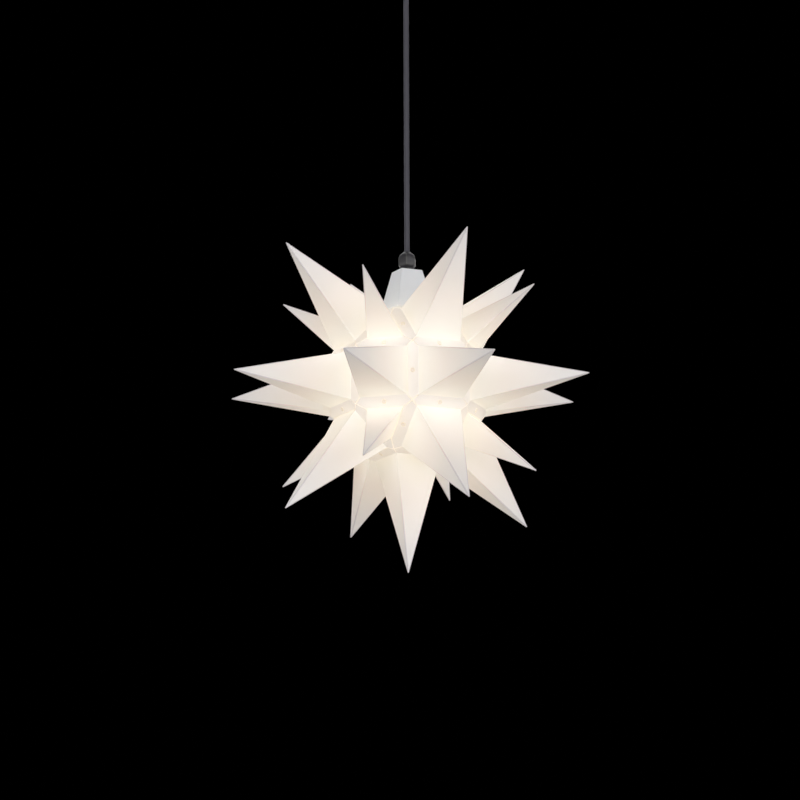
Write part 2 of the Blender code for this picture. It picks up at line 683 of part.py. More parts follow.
def holder_pieces(materials):
    """The lampholder and the cord's end in it, hung on the gland's shank."""
    hole = GLAND_SHANK_RADIUS + TOUCH_GAP
    inside = HOLDER_RADIUS - HOLDER_WALL
    plate_foot = HOLDER_TOP - HOLDER_CAP_PLATE
    cap_section = [
        (hole, HOLDER_TOP),
        (HOLDER_CAP_CROWN_RADIUS, HOLDER_TOP),
        (HOLDER_RADIUS, HOLDER_TOP - HOLDER_CAP_SHOULDER),
        (HOLDER_RADIUS, HOLDER_CAP_FOOT),
        (inside, HOLDER_CAP_FOOT),
        (inside, plate_foot - HOLDER_WALL),
        (HOLDER_CAP_CROWN_RADIUS - HOLDER_WALL, plate_foot),
        (hole, plate_foot),
    ]
    cap = turned("lampholder_cap", cap_section, materials["holder"])
    spigot = inside - TOUCH_GAP
    spigot_top = HOLDER_BODY_TOP + HOLDER_SPIGOT_HEIGHT
    body_section = [
        (spigot - HOLDER_SPIGOT_WALL, spigot_top),
        (spigot, spigot_top),
        (spigot, HOLDER_BODY_TOP),
        (HOLDER_RADIUS, HOLDER_BODY_TOP),
        (HOLDER_RADIUS, HOLDER_FOOT + HOLDER_FOOT_CHAMFER),
        (HOLDER_RADIUS - HOLDER_FOOT_CHAMFER, HOLDER_FOOT),
        (HOLDER_BORE, HOLDER_FOOT),
        (HOLDER_BORE, HOLDER_LEDGE),
        (spigot - HOLDER_SPIGOT_WALL, HOLDER_LEDGE),
    ]
    body = turned("lampholder_body", body_section, materials["holder"])
    insert_radius = spigot - HOLDER_SPIGOT_WALL - TOUCH_GAP
    insert_top = INSERT_FOOT + INSERT_HEIGHT
    insert_section = [(insert_radius, INSERT_FOOT), (insert_radius, insert_top)]
    insert = turned("lampholder_insert", insert_section, materials["ceramic"], closed=False)
    socket = socket_shell(materials["brass"])
    contact_foot = CONTACT_TOP - CENTRE_CONTACT_HEIGHT
    contact_section = [
        (CENTRE_CONTACT_RADIUS, CONTACT_TOP),
        (CENTRE_CONTACT_RADIUS, (CONTACT_TOP + contact_foot) / 2),
        (CENTRE_CONTACT_RADIUS / 2, contact_foot),
    ]
    brass = materials["brass"]
    contact = turned("lampholder_contact", contact_section, brass, SMALL_TURNED_SIDES, closed=False)
    tail = straight_cord("cord_tail", GLAND_TOP, CORD_TAIL_FOOT, materials["cord"])
    core_top = CORD_TAIL_FOOT - TOUCH_GAP
    core_foot = insert_top + TOUCH_GAP
    brown = bent_core("lamp_core_brown", 1, core_top, core_foot, CORE_REACH, materials["brown"])
    blue = bent_core("lamp_core_blue", -1, core_top, core_foot, CORE_REACH, materials["blue"])
    return [cap, body, insert, socket, contact, tail, brown, blue]


def thread_radius(mean, height, fade):
    """The radius of a right-hand knuckle thread at a height, as a function of the angle."""

    def radius(angle):
        return mean + THREAD_DEPTH_HALF * fade * math.cos(2 * math.pi * height / THREAD_PITCH - angle)

    return radius


def thread_section(mean, top, foot, phase_height):
    """Threaded rings from the top to the foot, that run out at both ends."""
    count = max(2, round((top - foot) / THREAD_PITCH * THREAD_STEPS))
    rows = []
    for step in range(count + 1):
        height = top + (foot - top) * step / count
        fade = 0 if step in (0, count) else 1
        rows.append((thread_radius(mean, height + phase_height, fade), height))
    return rows


def socket_shell(material):
    """The threaded metal shell that takes the lamp's cap."""
    top = INSERT_FOOT - TOUCH_GAP
    foot = HOLDER_FOOT + SOCKET_FOOT_RISE
    mean = THREAD_MEAN_RADIUS + THREAD_CLEARANCE
    outside = mean + THREAD_DEPTH_HALF + SOCKET_WALL
    rim = HOLDER_BORE - TOUCH_GAP
    section = thread_section(mean, top, foot, 0)
    section += [
        (outside, foot),
        (outside, top - SOCKET_RIM),
        (rim, top - SOCKET_RIM),
        (rim, top),
    ]
    return turned("lampholder_socket", section, material, THREAD_SIDES)


def lamp_pieces(materials):
    """The lamp below its centre contact, measured from the contact's tip."""
    spigot = LAMP_CAP_BORE - TOUCH_GAP
    shoulder = INSULATOR_TOP - INSULATOR_CONE
    insulator_section = [
        (INSULATOR_TOP_RADIUS, INSULATOR_TOP),
        (THREAD_MEAN_RADIUS - THREAD_DEPTH_HALF, shoulder),
        (spigot, shoulder),
        (spigot, shoulder - INSULATOR_SPIGOT),
    ]
    insulator = turned("lamp_insulator", insulator_section, materials["lamp_black"], closed=False)
    flare_top = LAMP_CAP_FOOT + LAMP_CAP_FLARE_HEIGHT
    thread_top = LAMP_CAP_TOP - LAMP_CAP_LEAD
    thread_foot = flare_top + LAMP_CAP_LEAD
    wall = THREAD_MEAN_RADIUS - THREAD_DEPTH_HALF - LAMP_CAP_BORE
    cap_section = [(THREAD_MEAN_RADIUS - THREAD_DEPTH_HALF, LAMP_CAP_TOP)]
    cap_section += thread_section(THREAD_MEAN_RADIUS, thread_top, thread_foot, LAMP_TIP)
    cap_section += [
        (THREAD_MEAN_RADIUS, flare_top),
        (LAMP_CAP_FLARE_RADIUS, LAMP_CAP_FOOT),
        (LAMP_CAP_FLARE_RADIUS - wall, LAMP_CAP_FOOT),
        (LAMP_CAP_BORE, flare_top),
        (LAMP_CAP_BORE, LAMP_CAP_TOP),
    ]
    cap = turned("lamp_cap", cap_section, materials["nickel"], THREAD_SIDES)
    housing = lamp_housing(spigot, materials["lamp_white"])
    board_foot = BOARD_TOP - BOARD_THICKNESS
    board_section = [(BOARD_RADIUS, BOARD_TOP), (BOARD_RADIUS, board_foot)]
    board = turned("lamp_board", board_section, materials["lamp_board"], closed=False)
    driver_top = shoulder - INSULATOR_SPIGOT - DRIVER_HEAD_GAP
    driver = block(
        "lamp_driver",
        (-DRIVER_HALF_WIDTH, -DRIVER_HALF_THICKNESS, BOARD_TOP + TOUCH_GAP),
        (DRIVER_HALF_WIDTH, DRIVER_HALF_THICKNESS, driver_top),
        materials["lamp_board"],
    )
    return [insulator, cap, housing, board, driver, lamp_globe(materials["lamp_globe"])]


def lamp_tip(material):
    """The lamp's centre contact, which moves down but need not turn, because it is round."""
    section = [
        (TIP_CONTACT_CROWN, 0),
        (TIP_CONTACT_RADIUS, -TIP_CONTACT_HEIGHT / 2),
        (TIP_CONTACT_RADIUS, -TIP_CONTACT_HEIGHT),
    ]
    return turned("lamp_tip_contact", section, material, SMALL_TURNED_SIDES, closed=False)


def lamp_housing(spigot, material):
    """The lamp's hollow housing, with a spigot up into its cap."""
    neck_foot = HOUSING_TOP - HOUSING_NECK_HEIGHT
    shoulder = HOUSING_FOOT + HOUSING_SHOULDER
    spigot_top = HOUSING_TOP + HOUSING_SPIGOT_HEIGHT
    section = [
        (spigot - HOUSING_WALL, spigot_top),
        (spigot, spigot_top),
        (spigot, HOUSING_TOP),
        (LAMP_CAP_FLARE_RADIUS, HOUSING_TOP),
        (HOUSING_NECK_RADIUS, neck_foot),
        (HOUSING_SHOULDER_RADIUS, shoulder),
        (HOUSING_RADIUS, HOUSING_FOOT),
        (HOUSING_LEDGE, HOUSING_FOOT),
        (HOUSING_LEDGE, shoulder),
        (spigot - HOUSING_WALL, neck_foot),
    ]
    return turned("lamp_housing", section, material)


def lamp_globe(material):
    """The lamp's round diffuser, open at its neck."""

    def arc(radius, rim_radius):
        first = math.asin(rim_radius / radius)
        rows = []
        for step in range(GLOBE_ARC_STEPS):
            angle = first + (math.pi - first) * step / GLOBE_ARC_STEPS
            rows.append((radius * math.sin(angle), GLOBE_CENTRE + radius * math.cos(angle)))
        return rows + [(0, GLOBE_CENTRE - radius)]

    inside = GLOBE_RADIUS - GLOBE_WALL
    section = arc(GLOBE_RADIUS, GLOBE_RIM_RADIUS)
    section += reversed(arc(inside, GLOBE_RIM_RADIUS - GLOBE_WALL))
    return turned("lamp_globe", section, material)


def canopy_screw(name, side, material):
    """A screw through the canopy's side into one of the plate's lugs. The shank points inwards."""
    head_foot = CANOPY_RADIUS + TOUCH_GAP
    head_top = head_foot + CANOPY_SCREW_HEAD
    shank_end = PLATE_RADIUS - LUG_INSET - 2 * LUG_THICKNESS
    section = [
        (CANOPY_SCREW_RADIUS, shank_end),
        (CANOPY_SCREW_RADIUS, head_foot),
        (CANOPY_SCREW_HEAD_RADIUS, head_foot),
        (CANOPY_SCREW_HEAD_RADIUS, (head_foot + head_top) / 2),
        (CANOPY_SCREW_HEAD_RADIUS / 2, head_top),
    ]
    screw = turned(name, section, material, SMALL_TURNED_SIDES, closed=False)
    screw.data.transform(Matrix.Rotation(-side * math.pi / 2, 4, "X"))
    screw.location.z = -CANOPY_SCREW_DROP
    return screw


def crosswise_hole(name, radius, low, high, material):
    """A cutter along Y for the canopy's screws."""
    outline = round_outline(radius, SMALL_TURNED_SIDES)
    hole = prism(name, outline, low, high, material, Matrix.Rotation(-math.pi / 2, 4, "X"))
    hole.location.z = -CANOPY_SCREW_DROP
    return hole


def ceiling_plate(material):
    """The plate that is screwed to the ceiling, with a lug in front and behind for the canopy."""
    section = [(PLATE_RADIUS, 0), (PLATE_RADIUS, -PLATE_THICKNESS)]
    plate = turned("ceiling_plate", section, material, closed=False)
    steps = []
    lug_face = PLATE_RADIUS - LUG_INSET
    for side in (-1, 1):
        near, far = sorted((side * (lug_face - LUG_THICKNESS), side * lug_face))
        low = (-LUG_HALF_WIDTH, near, -LUG_DEPTH)
        high = (LUG_HALF_WIDTH, far, -PLATE_THICKNESS / 2)
        steps.append(("UNION", block(f"lug {side}", low, high, material)))
    past = CANOPY_RADIUS + CUT_OVERRUN
    hole_radius = CANOPY_SCREW_RADIUS + TOUCH_GAP
    steps.append(("DIFFERENCE", crosswise_hole("lug holes", hole_radius, -past, past, material)))
    for side in (-1, 1):
        centre = (side * PLATE_SCREW_SPACING / 2, 0)
        outline = round_outline(PLATE_SCREW_HOLE, SMALL_TURNED_SIDES, centre)
        low, high = -PLATE_THICKNESS - CUT_OVERRUN, CUT_OVERRUN
        steps.append(("DIFFERENCE", prism(f"screw hole {side}", outline, low, high, material)))
    outline = round_outline(CABLE_HOLE, TURNED_SIDES, (0, CABLE_HOLE_OFFSET))
    low, high = -PLATE_THICKNESS - CUT_OVERRUN, CUT_OVERRUN
    steps.append(("DIFFERENCE", prism("cable hole", outline, low, high, material)))
    return reshape(plate, steps)


def ceiling_canopy(material):
    """The cup that hides the wiring, with a slope down to the cord grip."""
    inside = CANOPY_RADIUS - CANOPY_WALL
    side_foot = -CANOPY_SIDE_HEIGHT
    hole = GRIP_TUBE_RADIUS + TOUCH_GAP
    bend_radius = CANOPY_FLOOR_RADIUS + (CANOPY_RADIUS - CANOPY_FLOOR_RADIUS) * CANOPY_BEND_SHARE
    bend_height = side_foot + (CANOPY_FOOT - side_foot) * CANOPY_BEND_SHARE
    section = [
        (inside, -CANOPY_RIM_GAP),
        (CANOPY_RADIUS, -CANOPY_RIM_GAP),
        (CANOPY_RADIUS, side_foot),
        (bend_radius, bend_height),
        (CANOPY_FLOOR_RADIUS, CANOPY_FOOT),
        (hole, CANOPY_FOOT),
        (hole, CANOPY_FOOT + CANOPY_WALL),
        (CANOPY_FLOOR_RADIUS, CANOPY_FOOT + CANOPY_WALL),
        (bend_radius, bend_height + CANOPY_WALL),
        (inside, side_foot + CANOPY_WALL / 2),
    ]
    canopy = turned("ceiling_canopy", section, material, 2 * TURNED_SIDES)
    past = CANOPY_RADIUS + CUT_OVERRUN
    hole_radius = CANOPY_SCREW_RADIUS + TOUCH_GAP
    cutter = crosswise_hole("canopy screw holes", hole_radius, -past, past, material)
    return reshape(canopy, [("DIFFERENCE", cutter)])


def ball_arc(radius, first_height, steps):
    """Points round the upper part of a ball from a height on its side up to its top."""
    first = math.asin(first_height / radius)
    angles = [first + (math.pi / 2 - first) * step / steps for step in range(steps)]
    return [(radius * math.cos(angle), radius * math.sin(angle)) for angle in angles]


def cord_grip_pieces(materials):
    """The grip that carries the cord in the canopy's floor, and its nut."""
    bore = CORD_BORE
    socket_radius = BALL_RADIUS + TOUCH_GAP
    socket = ball_arc(socket_radius, SOCKET_LIP_RISE, BALL_ARC_STEPS)
    socket = [(radius, SWING_HEIGHT + height) for radius, height in socket if radius > bore]
    bore_foot = SWING_HEIGHT + math.sqrt(socket_radius**2 - bore**2)
    tube_top = GRIP_COLLAR_TOP + GRIP_TUBE_HEIGHT
    section = [
        (bore, tube_top),
        (GRIP_TUBE_RADIUS, tube_top),
        (GRIP_TUBE_RADIUS, GRIP_COLLAR_TOP),
        (GRIP_RADIUS, GRIP_COLLAR_TOP),
        (GRIP_RADIUS, GRIP_FOOT),
        *socket,
        (bore, bore_foot),
    ]
    grip = turned("cord_grip", section, materials["canopy"])
    nut_foot = CANOPY_FOOT + CANOPY_WALL + TOUCH_GAP
    hole = GRIP_TUBE_RADIUS + TOUCH_GAP
    nut_section = [
        (hole, nut_foot),
        (hexagon(GRIP_NUT_HALF), nut_foot),
        (hexagon(GRIP_NUT_HALF), nut_foot + GRIP_NUT_HEIGHT),
        (hole, nut_foot + GRIP_NUT_HEIGHT),
    ]
    nut = turned("cord_grip_nut", nut_section, materials["canopy"])
    return [grip, nut]


def terminal_block(material):
    """The block under the plate that joins the cord's cores to the supply."""
    width, depth, height = BLOCK_SIZE
    top = -PLATE_THICKNESS - TOUCH_GAP
    low = (-width / 2, -BLOCK_OFFSET - depth / 2, top - height)
    high = (width / 2, -BLOCK_OFFSET + depth / 2, top)
    item = block("terminal_block", low, high, material)
    steps = []
    middle = top - height / 2
    for side in (-1, 1):
        centre = side * BLOCK_WIRE_SPACING / 2
        outline = round_outline(BLOCK_WIRE_HOLE, STUD_SIDES, (centre, -middle))
        turn = Matrix.Rotation(math.pi / 2, 4, "X") @ Matrix.Scale(-1, 4, (0, 1, 0))
        past = BLOCK_OFFSET + depth / 2 + CUT_OVERRUN
        cutter = prism(f"wire hole {side}", outline, -past, past, material, turn)
        steps.append(("DIFFERENCE", cutter))
        outline = round_outline(BLOCK_SCREW_HOLE, STUD_SIDES, (centre, -BLOCK_OFFSET))
        low_end = top - height - CUT_OVERRUN
        steps.append(("DIFFERENCE", prism(f"screw hole {side}", outline, low_end, middle, material)))
    return reshape(item, steps)


def ceiling_core(name, side, top_height, material):
    """A core that bends forwards from the sheath's end to the terminal block."""
    start = Vector((side * CORE_OFFSET, 0, CORD_TOP_HEAD + TOUCH_GAP))
    face = -BLOCK_OFFSET + BLOCK_SIZE[1] / 2 + TOUCH_GAP
    end = Vector((side * BLOCK_WIRE_SPACING / 2, face, top_height))
    points = []
    for share in CORE_BEND_SHARES:
        blend = share * share * (3 - 2 * share)
        rise = math.sin(share * math.pi / 2)
        across = start.x + (end.x - start.x) * blend
        forward = start.y + (end.y - start.y) * (1 - math.cos(share * math.pi / 2))
        points.append((across, forward, start.z + (end.z - start.z) * rise))
    return tube(name, points, CORE_RADIUS, material, 2)


def ceiling_pieces(materials):
    plate = ceiling_plate(materials["steel"])
    canopy = ceiling_canopy(materials["canopy"])
    front = canopy_screw("canopy_screw_front", -1, materials["steel"])
    back = canopy_screw("canopy_screw_back", 1, materials["steel"])
    head_foot = SWING_HEIGHT + BALL_RADIUS + TOUCH_GAP
    head = straight_cord("cord_head", CORD_TOP_HEAD, head_foot, materials["cord"])
    wire_height = -PLATE_THICKNESS - TOUCH_GAP - BLOCK_SIZE[2] / 2
    brown = ceiling_core("ceiling_core_brown", 1, wire_height, materials["brown"])
    blue = ceiling_core("ceiling_core_blue", -1, wire_height, materials["blue"])
    block_piece = terminal_block(materials["holder"])
    return [plate, canopy, front, back, head, brown, blue, block_piece, *cord_grip_pieces(materials)]


def strain_relief(material):
    """The ribbed sleeve moulded on the cord, with a ball that swings in the cord grip."""
    section = [(0, BALL_RADIUS)]
    section += reversed(ball_arc(BALL_RADIUS, 0, BALL_ARC_STEPS))
    pitch = BOOT_LENGTH / (2 * BOOT_RIB_COUNT)
    for step in range(1, 2 * BOOT_RIB_COUNT):
        share = step / (2 * BOOT_RIB_COUNT)
        radius = BALL_RADIUS + (BOOT_FOOT_RADIUS - BALL_RADIUS) * share
        section.append((radius - (BOOT_RIB_DEPTH if step % 2 else 0), -step * pitch))
    section.append((BOOT_FOOT_RADIUS, -BOOT_LENGTH))
    return turned("strain_relief", section, material, closed=False)


def build_star():
    clear_scene()
    materials = make_materials()
    ceiling = pivot("ceiling", None, 0)
    swing = pivot("swing_pivot", ceiling, SWING_HEIGHT)
    sway = pivot("sway_pivot", swing, SWAY_HEIGHT - SWING_HEIGHT)
    twist = pivot("twist_pivot", sway, TWIST_HEIGHT - SWAY_HEIGHT)
    star_centre = pivot("star_centre", twist, -STAR_DROP - TWIST_HEIGHT)
    shell_centre = pivot("shell_centre", star_centre, 0)
    lamp_pivot = pivot("lamp_pivot", star_centre, LAMP_TIP)
    for item in ceiling_pieces(materials):
        item.parent = ceiling
    hang([strain_relief(materials["cord"])], swing)
    hang([straight_cord("cord", 0, -CORD_LENGTH, materials["cord"])], sway)
    hang([make_hood(materials["star"])], star_centre)
    hang(gland_pieces(materials), star_centre)
    hang(holder_pieces(materials), star_centre)
    star_points(shell_centre, materials["star"])
    hang([lamp_tip(materials["nickel"]), *lamp_pieces(materials)], lamp_pivot)


build_star()
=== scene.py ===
from math import acos, asin, atan, atan2, cos, hypot, pi, radians, sin, sqrt, tan

import bmesh
import bpy
from mathutils import Matrix, Vector


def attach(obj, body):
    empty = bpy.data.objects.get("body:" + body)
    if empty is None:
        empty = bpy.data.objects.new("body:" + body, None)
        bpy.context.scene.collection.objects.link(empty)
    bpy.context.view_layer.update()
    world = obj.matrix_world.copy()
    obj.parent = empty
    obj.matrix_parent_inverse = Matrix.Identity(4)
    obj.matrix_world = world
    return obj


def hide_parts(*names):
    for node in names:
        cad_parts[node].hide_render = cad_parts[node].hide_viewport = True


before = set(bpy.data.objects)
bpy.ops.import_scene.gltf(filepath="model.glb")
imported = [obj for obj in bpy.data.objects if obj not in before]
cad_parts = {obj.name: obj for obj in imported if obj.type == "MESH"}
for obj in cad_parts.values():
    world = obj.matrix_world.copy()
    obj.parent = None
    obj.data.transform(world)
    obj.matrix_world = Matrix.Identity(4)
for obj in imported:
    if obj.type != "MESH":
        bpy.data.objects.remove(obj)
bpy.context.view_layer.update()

starCentre = Vector((0, 0, -0.51))  # everything on the pendant is measured from here
origin = Vector((0, 0, 0))  # at the ceiling
touchGap = 0.0003  # between pieces that meet
creaseAngle = radians(32)  # faces that meet at more than this keep a sharp edge


# small tools
def linkObject(name, data):
    thing = bpy.data.objects.new(name, data)
    bpy.context.collection.objects.link(thing)
    return thing


def towards(azimuth, elevation):
    # a unit vector; azimuth 0 is the front, and it grows to the right
    turn, rise = radians(azimuth), radians(elevation)
    return Vector((sin(turn) * cos(rise), -cos(turn) * cos(rise), sin(rise)))


def circleAngles(count):
    return [2 * pi * step / count for step in range(count)]


def ringAt(angles, reaches, height, centre=origin):
    # a level ring of points, with one reach for all of them or a list of reaches
    if not isinstance(reaches, list):
        reaches = [reaches] * len(angles)
    return [
        (centre.x + reach * cos(angle), centre.y + reach * sin(angle), centre.z + height)
        for reach, angle in zip(reaches, angles)
    ]


def joinRings(rings, closed=False):
    # faces between rings of points that follow one another; a ring of one point closes an end
    points, starts, faces = [], [], []
    for ring in rings:
        starts.append(len(points))
        points.extend(ring)
    count = len(rings)
    for near in range(count if closed else count - 1):
        far = (near + 1) % count
        for step in range(max(len(rings[near]), len(rings[far]))):
            sides = ((near, step), (near, step + 1), (far, step + 1), (far, step))
            corners = dict.fromkeys(starts[ring] + place % len(rings[ring]) for ring, place in sides)
            if len(corners) > 2:
                faces.append(list(corners))
    return points, faces


def makeMesh(name, points, faces, marks=None):
    build = bmesh.new()
    corners = [build.verts.new(point) for point in points]
    for face in faces:
        build.faces.new([corners[index] for index in face])
    bmesh.ops.recalc_face_normals(build, faces=build.faces)
    mesh = bpy.data.meshes.new(name)
    build.to_mesh(mesh)
    build.free()
    mesh.shade_smooth()
    mesh.set_sharp_from_angle(angle=creaseAngle)
    for markName, values in (marks or {}).items():
        mesh.attributes.new(markName, "FLOAT", "POINT").data.foreach_set("value", values)
    return mesh


def bake(piece):
    # applies the modifiers, so that a plain mesh is left
    graph = bpy.context.evaluated_depsgraph_get()
    mesh = bpy.data.meshes.new_from_object(piece.evaluated_get(graph), depsgraph=graph)
    piece.modifiers.clear()
    piece.data = mesh
    return piece


def softenEdges(piece, width):
    bevel = piece.modifiers.new("edges", "BEVEL")
    bevel.width = width
    bevel.segments = 2
    bevel.limit_method = "ANGLE"
    bevel.angle_limit = creaseAngle
    bevel.harden_normals = True
    return bake(piece)


def turnPiece(name, section, sides, closed=True, centre=starCentre, wornAndHighlit=None):
    # turns a section of (radius, height) round Z; a radius may be a function of the angle
    angles = circleAngles(sides)
    rings, wear = [], []
    for radius, height in section:
        if radius == 0:
            rings.append(ringAt([0], 0, height, centre))
            wear.append(0.0)
            continue
        reaches = [radius(angle) if callable(radius) else radius for angle in angles]
        rings.append(ringAt(angles, reaches, height, centre))
        wear += [wornAndHighlit(angle, reach, height) if wornAndHighlit else 0.0 for angle, reach in zip(angles, reaches)]
    points, faces = joinRings(rings, closed)
    return linkObject(name, makeMesh(name, points, faces, {"wear": wear} if wornAndHighlit else None))


def finishPiece(piece, finishName, body, slotName, *nodes):
    piece.data.materials.clear()
    piece.data.materials.append(finishes[finishName])
    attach(piece, body)
    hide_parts(*nodes)
    return piece


def addNode(tree, kind, inputs=None, output=0, **settings):
    # a node with its inputs set or linked; hands back one of its outputs
    node = tree.nodes.new(kind)
    for name, value in settings.items():
        setattr(node, name, value)
    feedNode(tree, node, inputs or {})
    return node.outputs[output]


def feedNode(tree, node, inputs):
    for name, value in inputs.items():
        if isinstance(value, bpy.types.NodeSocket):
            tree.links.new(value, node.inputs[name])
        else:
            node.inputs[name].default_value = value


def calc(tree, operation, first, second):
    return addNode(tree, "ShaderNodeMath", {0: first, 1: second}, operation=operation)


def combine(tree, x=0.0, y=0.0, z=0.0):
    return addNode(tree, "ShaderNodeCombineXYZ", {0: x, 1: y, 2: z})


# camera, below the star and to its left
cameraSettings = {
    "azimuth": -26.06,
    "elevation": -11.57,
    "roll": -0.2,
    "distance": 3.708,
    "lens": 157.5,
    "shiftRight": 0.008,  # metres from the line of sight to the star's centre
    "shiftUp": 0.0148,
    "clipEnd": 150,
}


def placeCamera(settings):
    azimuth, roll = radians(settings["azimuth"]), radians(settings["roll"])
    back = towards(settings["azimuth"], settings["elevation"])
    right = Vector((cos(azimuth), sin(azimuth), 0))
    up = back.cross(right)
    right, up = right * cos(roll) + up * sin(roll), up * cos(roll) - right * sin(roll)
    place = starCentre - right * settings["shiftRight"] - up * settings["shiftUp"]
    place += back * settings["distance"]
    camera = linkObject("camera", bpy.data.cameras.new("camera"))
    camera.data.lens = settings["lens"]
    camera.data.clip_end = settings["clipEnd"]
    camera.matrix_world = Matrix.Translation(place) @ Matrix((right, up, back)).transposed().to_4x4()
    bpy.context.scene.camera = camera


placeCamera(cameraSettings)
print("camera placed")


# finishes
def startFinish(name, roughness, metallic=0.0):
    material = bpy.data.materials.new(name)
    material.use_nodes = True
    tree = material.node_tree
    shader = tree.nodes["Principled BSDF"]
    feedNode(tree, shader, {"Roughness": roughness, "Metallic": metallic})
    return material, tree, shader


def objectPlace(tree, scale=(1, 1, 1)):
    place = addNode(tree, "ShaderNodeTexCoord", None, "Object")
    return addNode(tree, "ShaderNodeMapping", {"Vector": place, "Scale": scale})


def noiseValue(tree, place, scale, detail=3.0, roughness=0.5):
    sizes = {"Vector": place, "Scale": scale, "Detail": detail, "Roughness": roughness}
    return addNode(tree, "ShaderNodeTexNoise", sizes, "Fac")


def rampColour(tree, value, stops):
    ramp = addNode(tree, "ShaderNodeValToRGB", {"Fac": value})
    elements = ramp.node.color_ramp.elements
    while len(elements) < len(stops):
        elements.new(0.5)
    for element, (position, colour) in zip(elements, stops):
        element.position = position
    for element, (position, colour) in zip(elements, stops):
        element.color = (*colour, 1)
    return ramp


def spread(tree, value, low, high, fromLow=0.0, fromHigh=1.0):
    limits = {"Value": value, "From Min": fromLow, "From Max": fromHigh, "To Min": low, "To Max": high}
    return addNode(tree, "ShaderNodeMapRange", limits)


def mixColour(tree, factor, first, second):
    return addNode(tree, "ShaderNodeMix", {"Factor": factor, 6: first, 7: (*second, 1)}, 2, data_type="RGBA")


def markValue(tree, name):
    return addNode(tree, "ShaderNodeAttribute", None, "Fac", attribute_name=name)


def bumpFrom(tree, height, strength, distance):
    return addNode(tree, "ShaderNodeBump", {"Height": height, "Strength": strength, "Distance": distance})


def plasticFinish(
    name, colour, shade, roughness, mottle=90, grain=2200, grainDepth=0.00003, stretch=(1, 1, 1)
):
    # moulded plastic: a slow mottle in colour and gloss, and a fine grain
    material, tree, shader = startFinish(name, roughness)
    place = objectPlace(tree, stretch)
    slow = noiseValue(tree, place, mottle)
    feedNode(tree, shader, {
        "Base Color": rampColour(tree, slow, [(0.3, shade), (0.7, colour)]),
        "Roughness": spread(tree, slow, roughness - 0.06, roughness + 0.06),
        "Normal": bumpFrom(tree, noiseValue(tree, place, grain, 2.0), 0.35, grainDepth),
    })
    return material


def wornHighlitPlastic(name, colour, shade, wornAndHighlit, roughness, mottle, grain):
    # plastic whose marked edges are lighter: partly rubbed wear, partly a painted highlight
    material = plasticFinish(name, colour, shade, roughness, mottle, grain)
    tree = material.node_tree
    base = tree.nodes["Principled BSDF"].inputs["Base Color"]
    plain = base.links[0].from_socket
    tree.links.new(mixColour(tree, markValue(tree, "wear"), plain, wornAndHighlit), base)
    return material


def metalFinish(name, colour, shade, roughness, streak=(1, 1, 14), scale=260):
    # plated metal: fine drawn streaks and dull patches
    material, tree, shader = startFinish(name, roughness, 1.0)
    streaks = noiseValue(tree, objectPlace(tree, streak), scale, 4.0, 0.6)
    patches = noiseValue(tree, objectPlace(tree), 70, 2.0)
    feedNode(tree, shader, {
        "Base Color": rampColour(tree, patches, [(0.3, shade), (0.7, colour)]),
        "Roughness": spread(tree, streaks, roughness - 0.1, roughness + 0.12),
        "Normal": bumpFrom(tree, streaks, 0.25, 0.00002),
    })
    return material


def globeFinish(name, roughness, colours, glow):
    # opal plastic with the lamp's warm light in it
    material, tree, shader = startFinish(name, roughness)
    slow = noiseValue(tree, objectPlace(tree), 60, 2.0)
    fine = noiseValue(tree, objectPlace(tree), 1600, 2.0)
    feedNode(tree, shader, {
        "Base Color": rampColour(tree, slow, list(zip((0.3, 0.7), colours))),
        "Emission Color": rampColour(tree, slow, list(zip((0.3, 0.7), glow))),
        "Emission Strength": 1.0,
        "Normal": bumpFrom(tree, fine, 0.3, 0.00002),
    })
    return material


shellLook = {
    "plastic": (0.860, 0.868, 0.900),
    "shade": (0.836, 0.844, 0.877),
    "roughness": 0.46,
    "glow": [  # warm light from inside: a flange goes from 0 to stripEnd, and a wall from there to 1
        (0.000, (0.330, 0.250, 0.145)),
        (0.075, (0.285, 0.205, 0.113)),
        (0.092, (0.235, 0.165, 0.095)),
        (0.100, (0.350, 0.292, 0.186)),
        (0.116, (0.330, 0.264, 0.158)),
        (0.135, (0.320, 0.260, 0.150)),
        (0.190, (0.300, 0.244, 0.150)),
        (0.280, (0.303, 0.226, 0.124)),
        (0.415, (0.264, 0.176, 0.088)),
        (0.550, (0.210, 0.138, 0.060)),
        (0.730, (0.152, 0.102, 0.047)),
        (0.910, (0.088, 0.057, 0.022)),
        (1.000, (0.064, 0.044, 0.020)),
    ],
    "unevenGlow": 0.07,
    # the ridges' line colour is painted shade, darker where less light comes through the folds
    "ridgeShadeLine": (0.735, 0.715, 0.760),
    "ridgeWidth": 0.0009,
    "ridgeGlow": 0.62,  # share of the light that comes through there
    # the studs' colour is painted shade, darker than the plastic round them
    "stud": (0.775, 0.760, 0.765),
    "studGlow": 0.88,
}
hoodLook = {
    **shellLook,
    # the star's plastic painted darker: painted shade, like the hood's dim glow
    "plastic": (0.715, 0.732, 0.765),
    "shade": (0.695, 0.712, 0.745),
    "ridgeShadeLine": (0.715, 0.732, 0.765),
    "glow": [  # the lampholder shades the hood, so that little light reaches it
        (0.000, (0.50, 0.43, 0.30)),
        (0.095, (0.40, 0.33, 0.22)),
        (0.100, (0.30, 0.27, 0.22)),
        (0.160, (0.20, 0.19, 0.17)),
        (0.300, (0.14, 0.14, 0.13)),
        (0.500, (0.10, 0.10, 0.095)),
        (1.000, (0.08, 0.08, 0.08)),
    ],
}
stripEnd = 0.1
flangeRise = -stripEnd / (1 - stripEnd)  # the rise at a flange's free edge; a wall's goes from 0 to 1


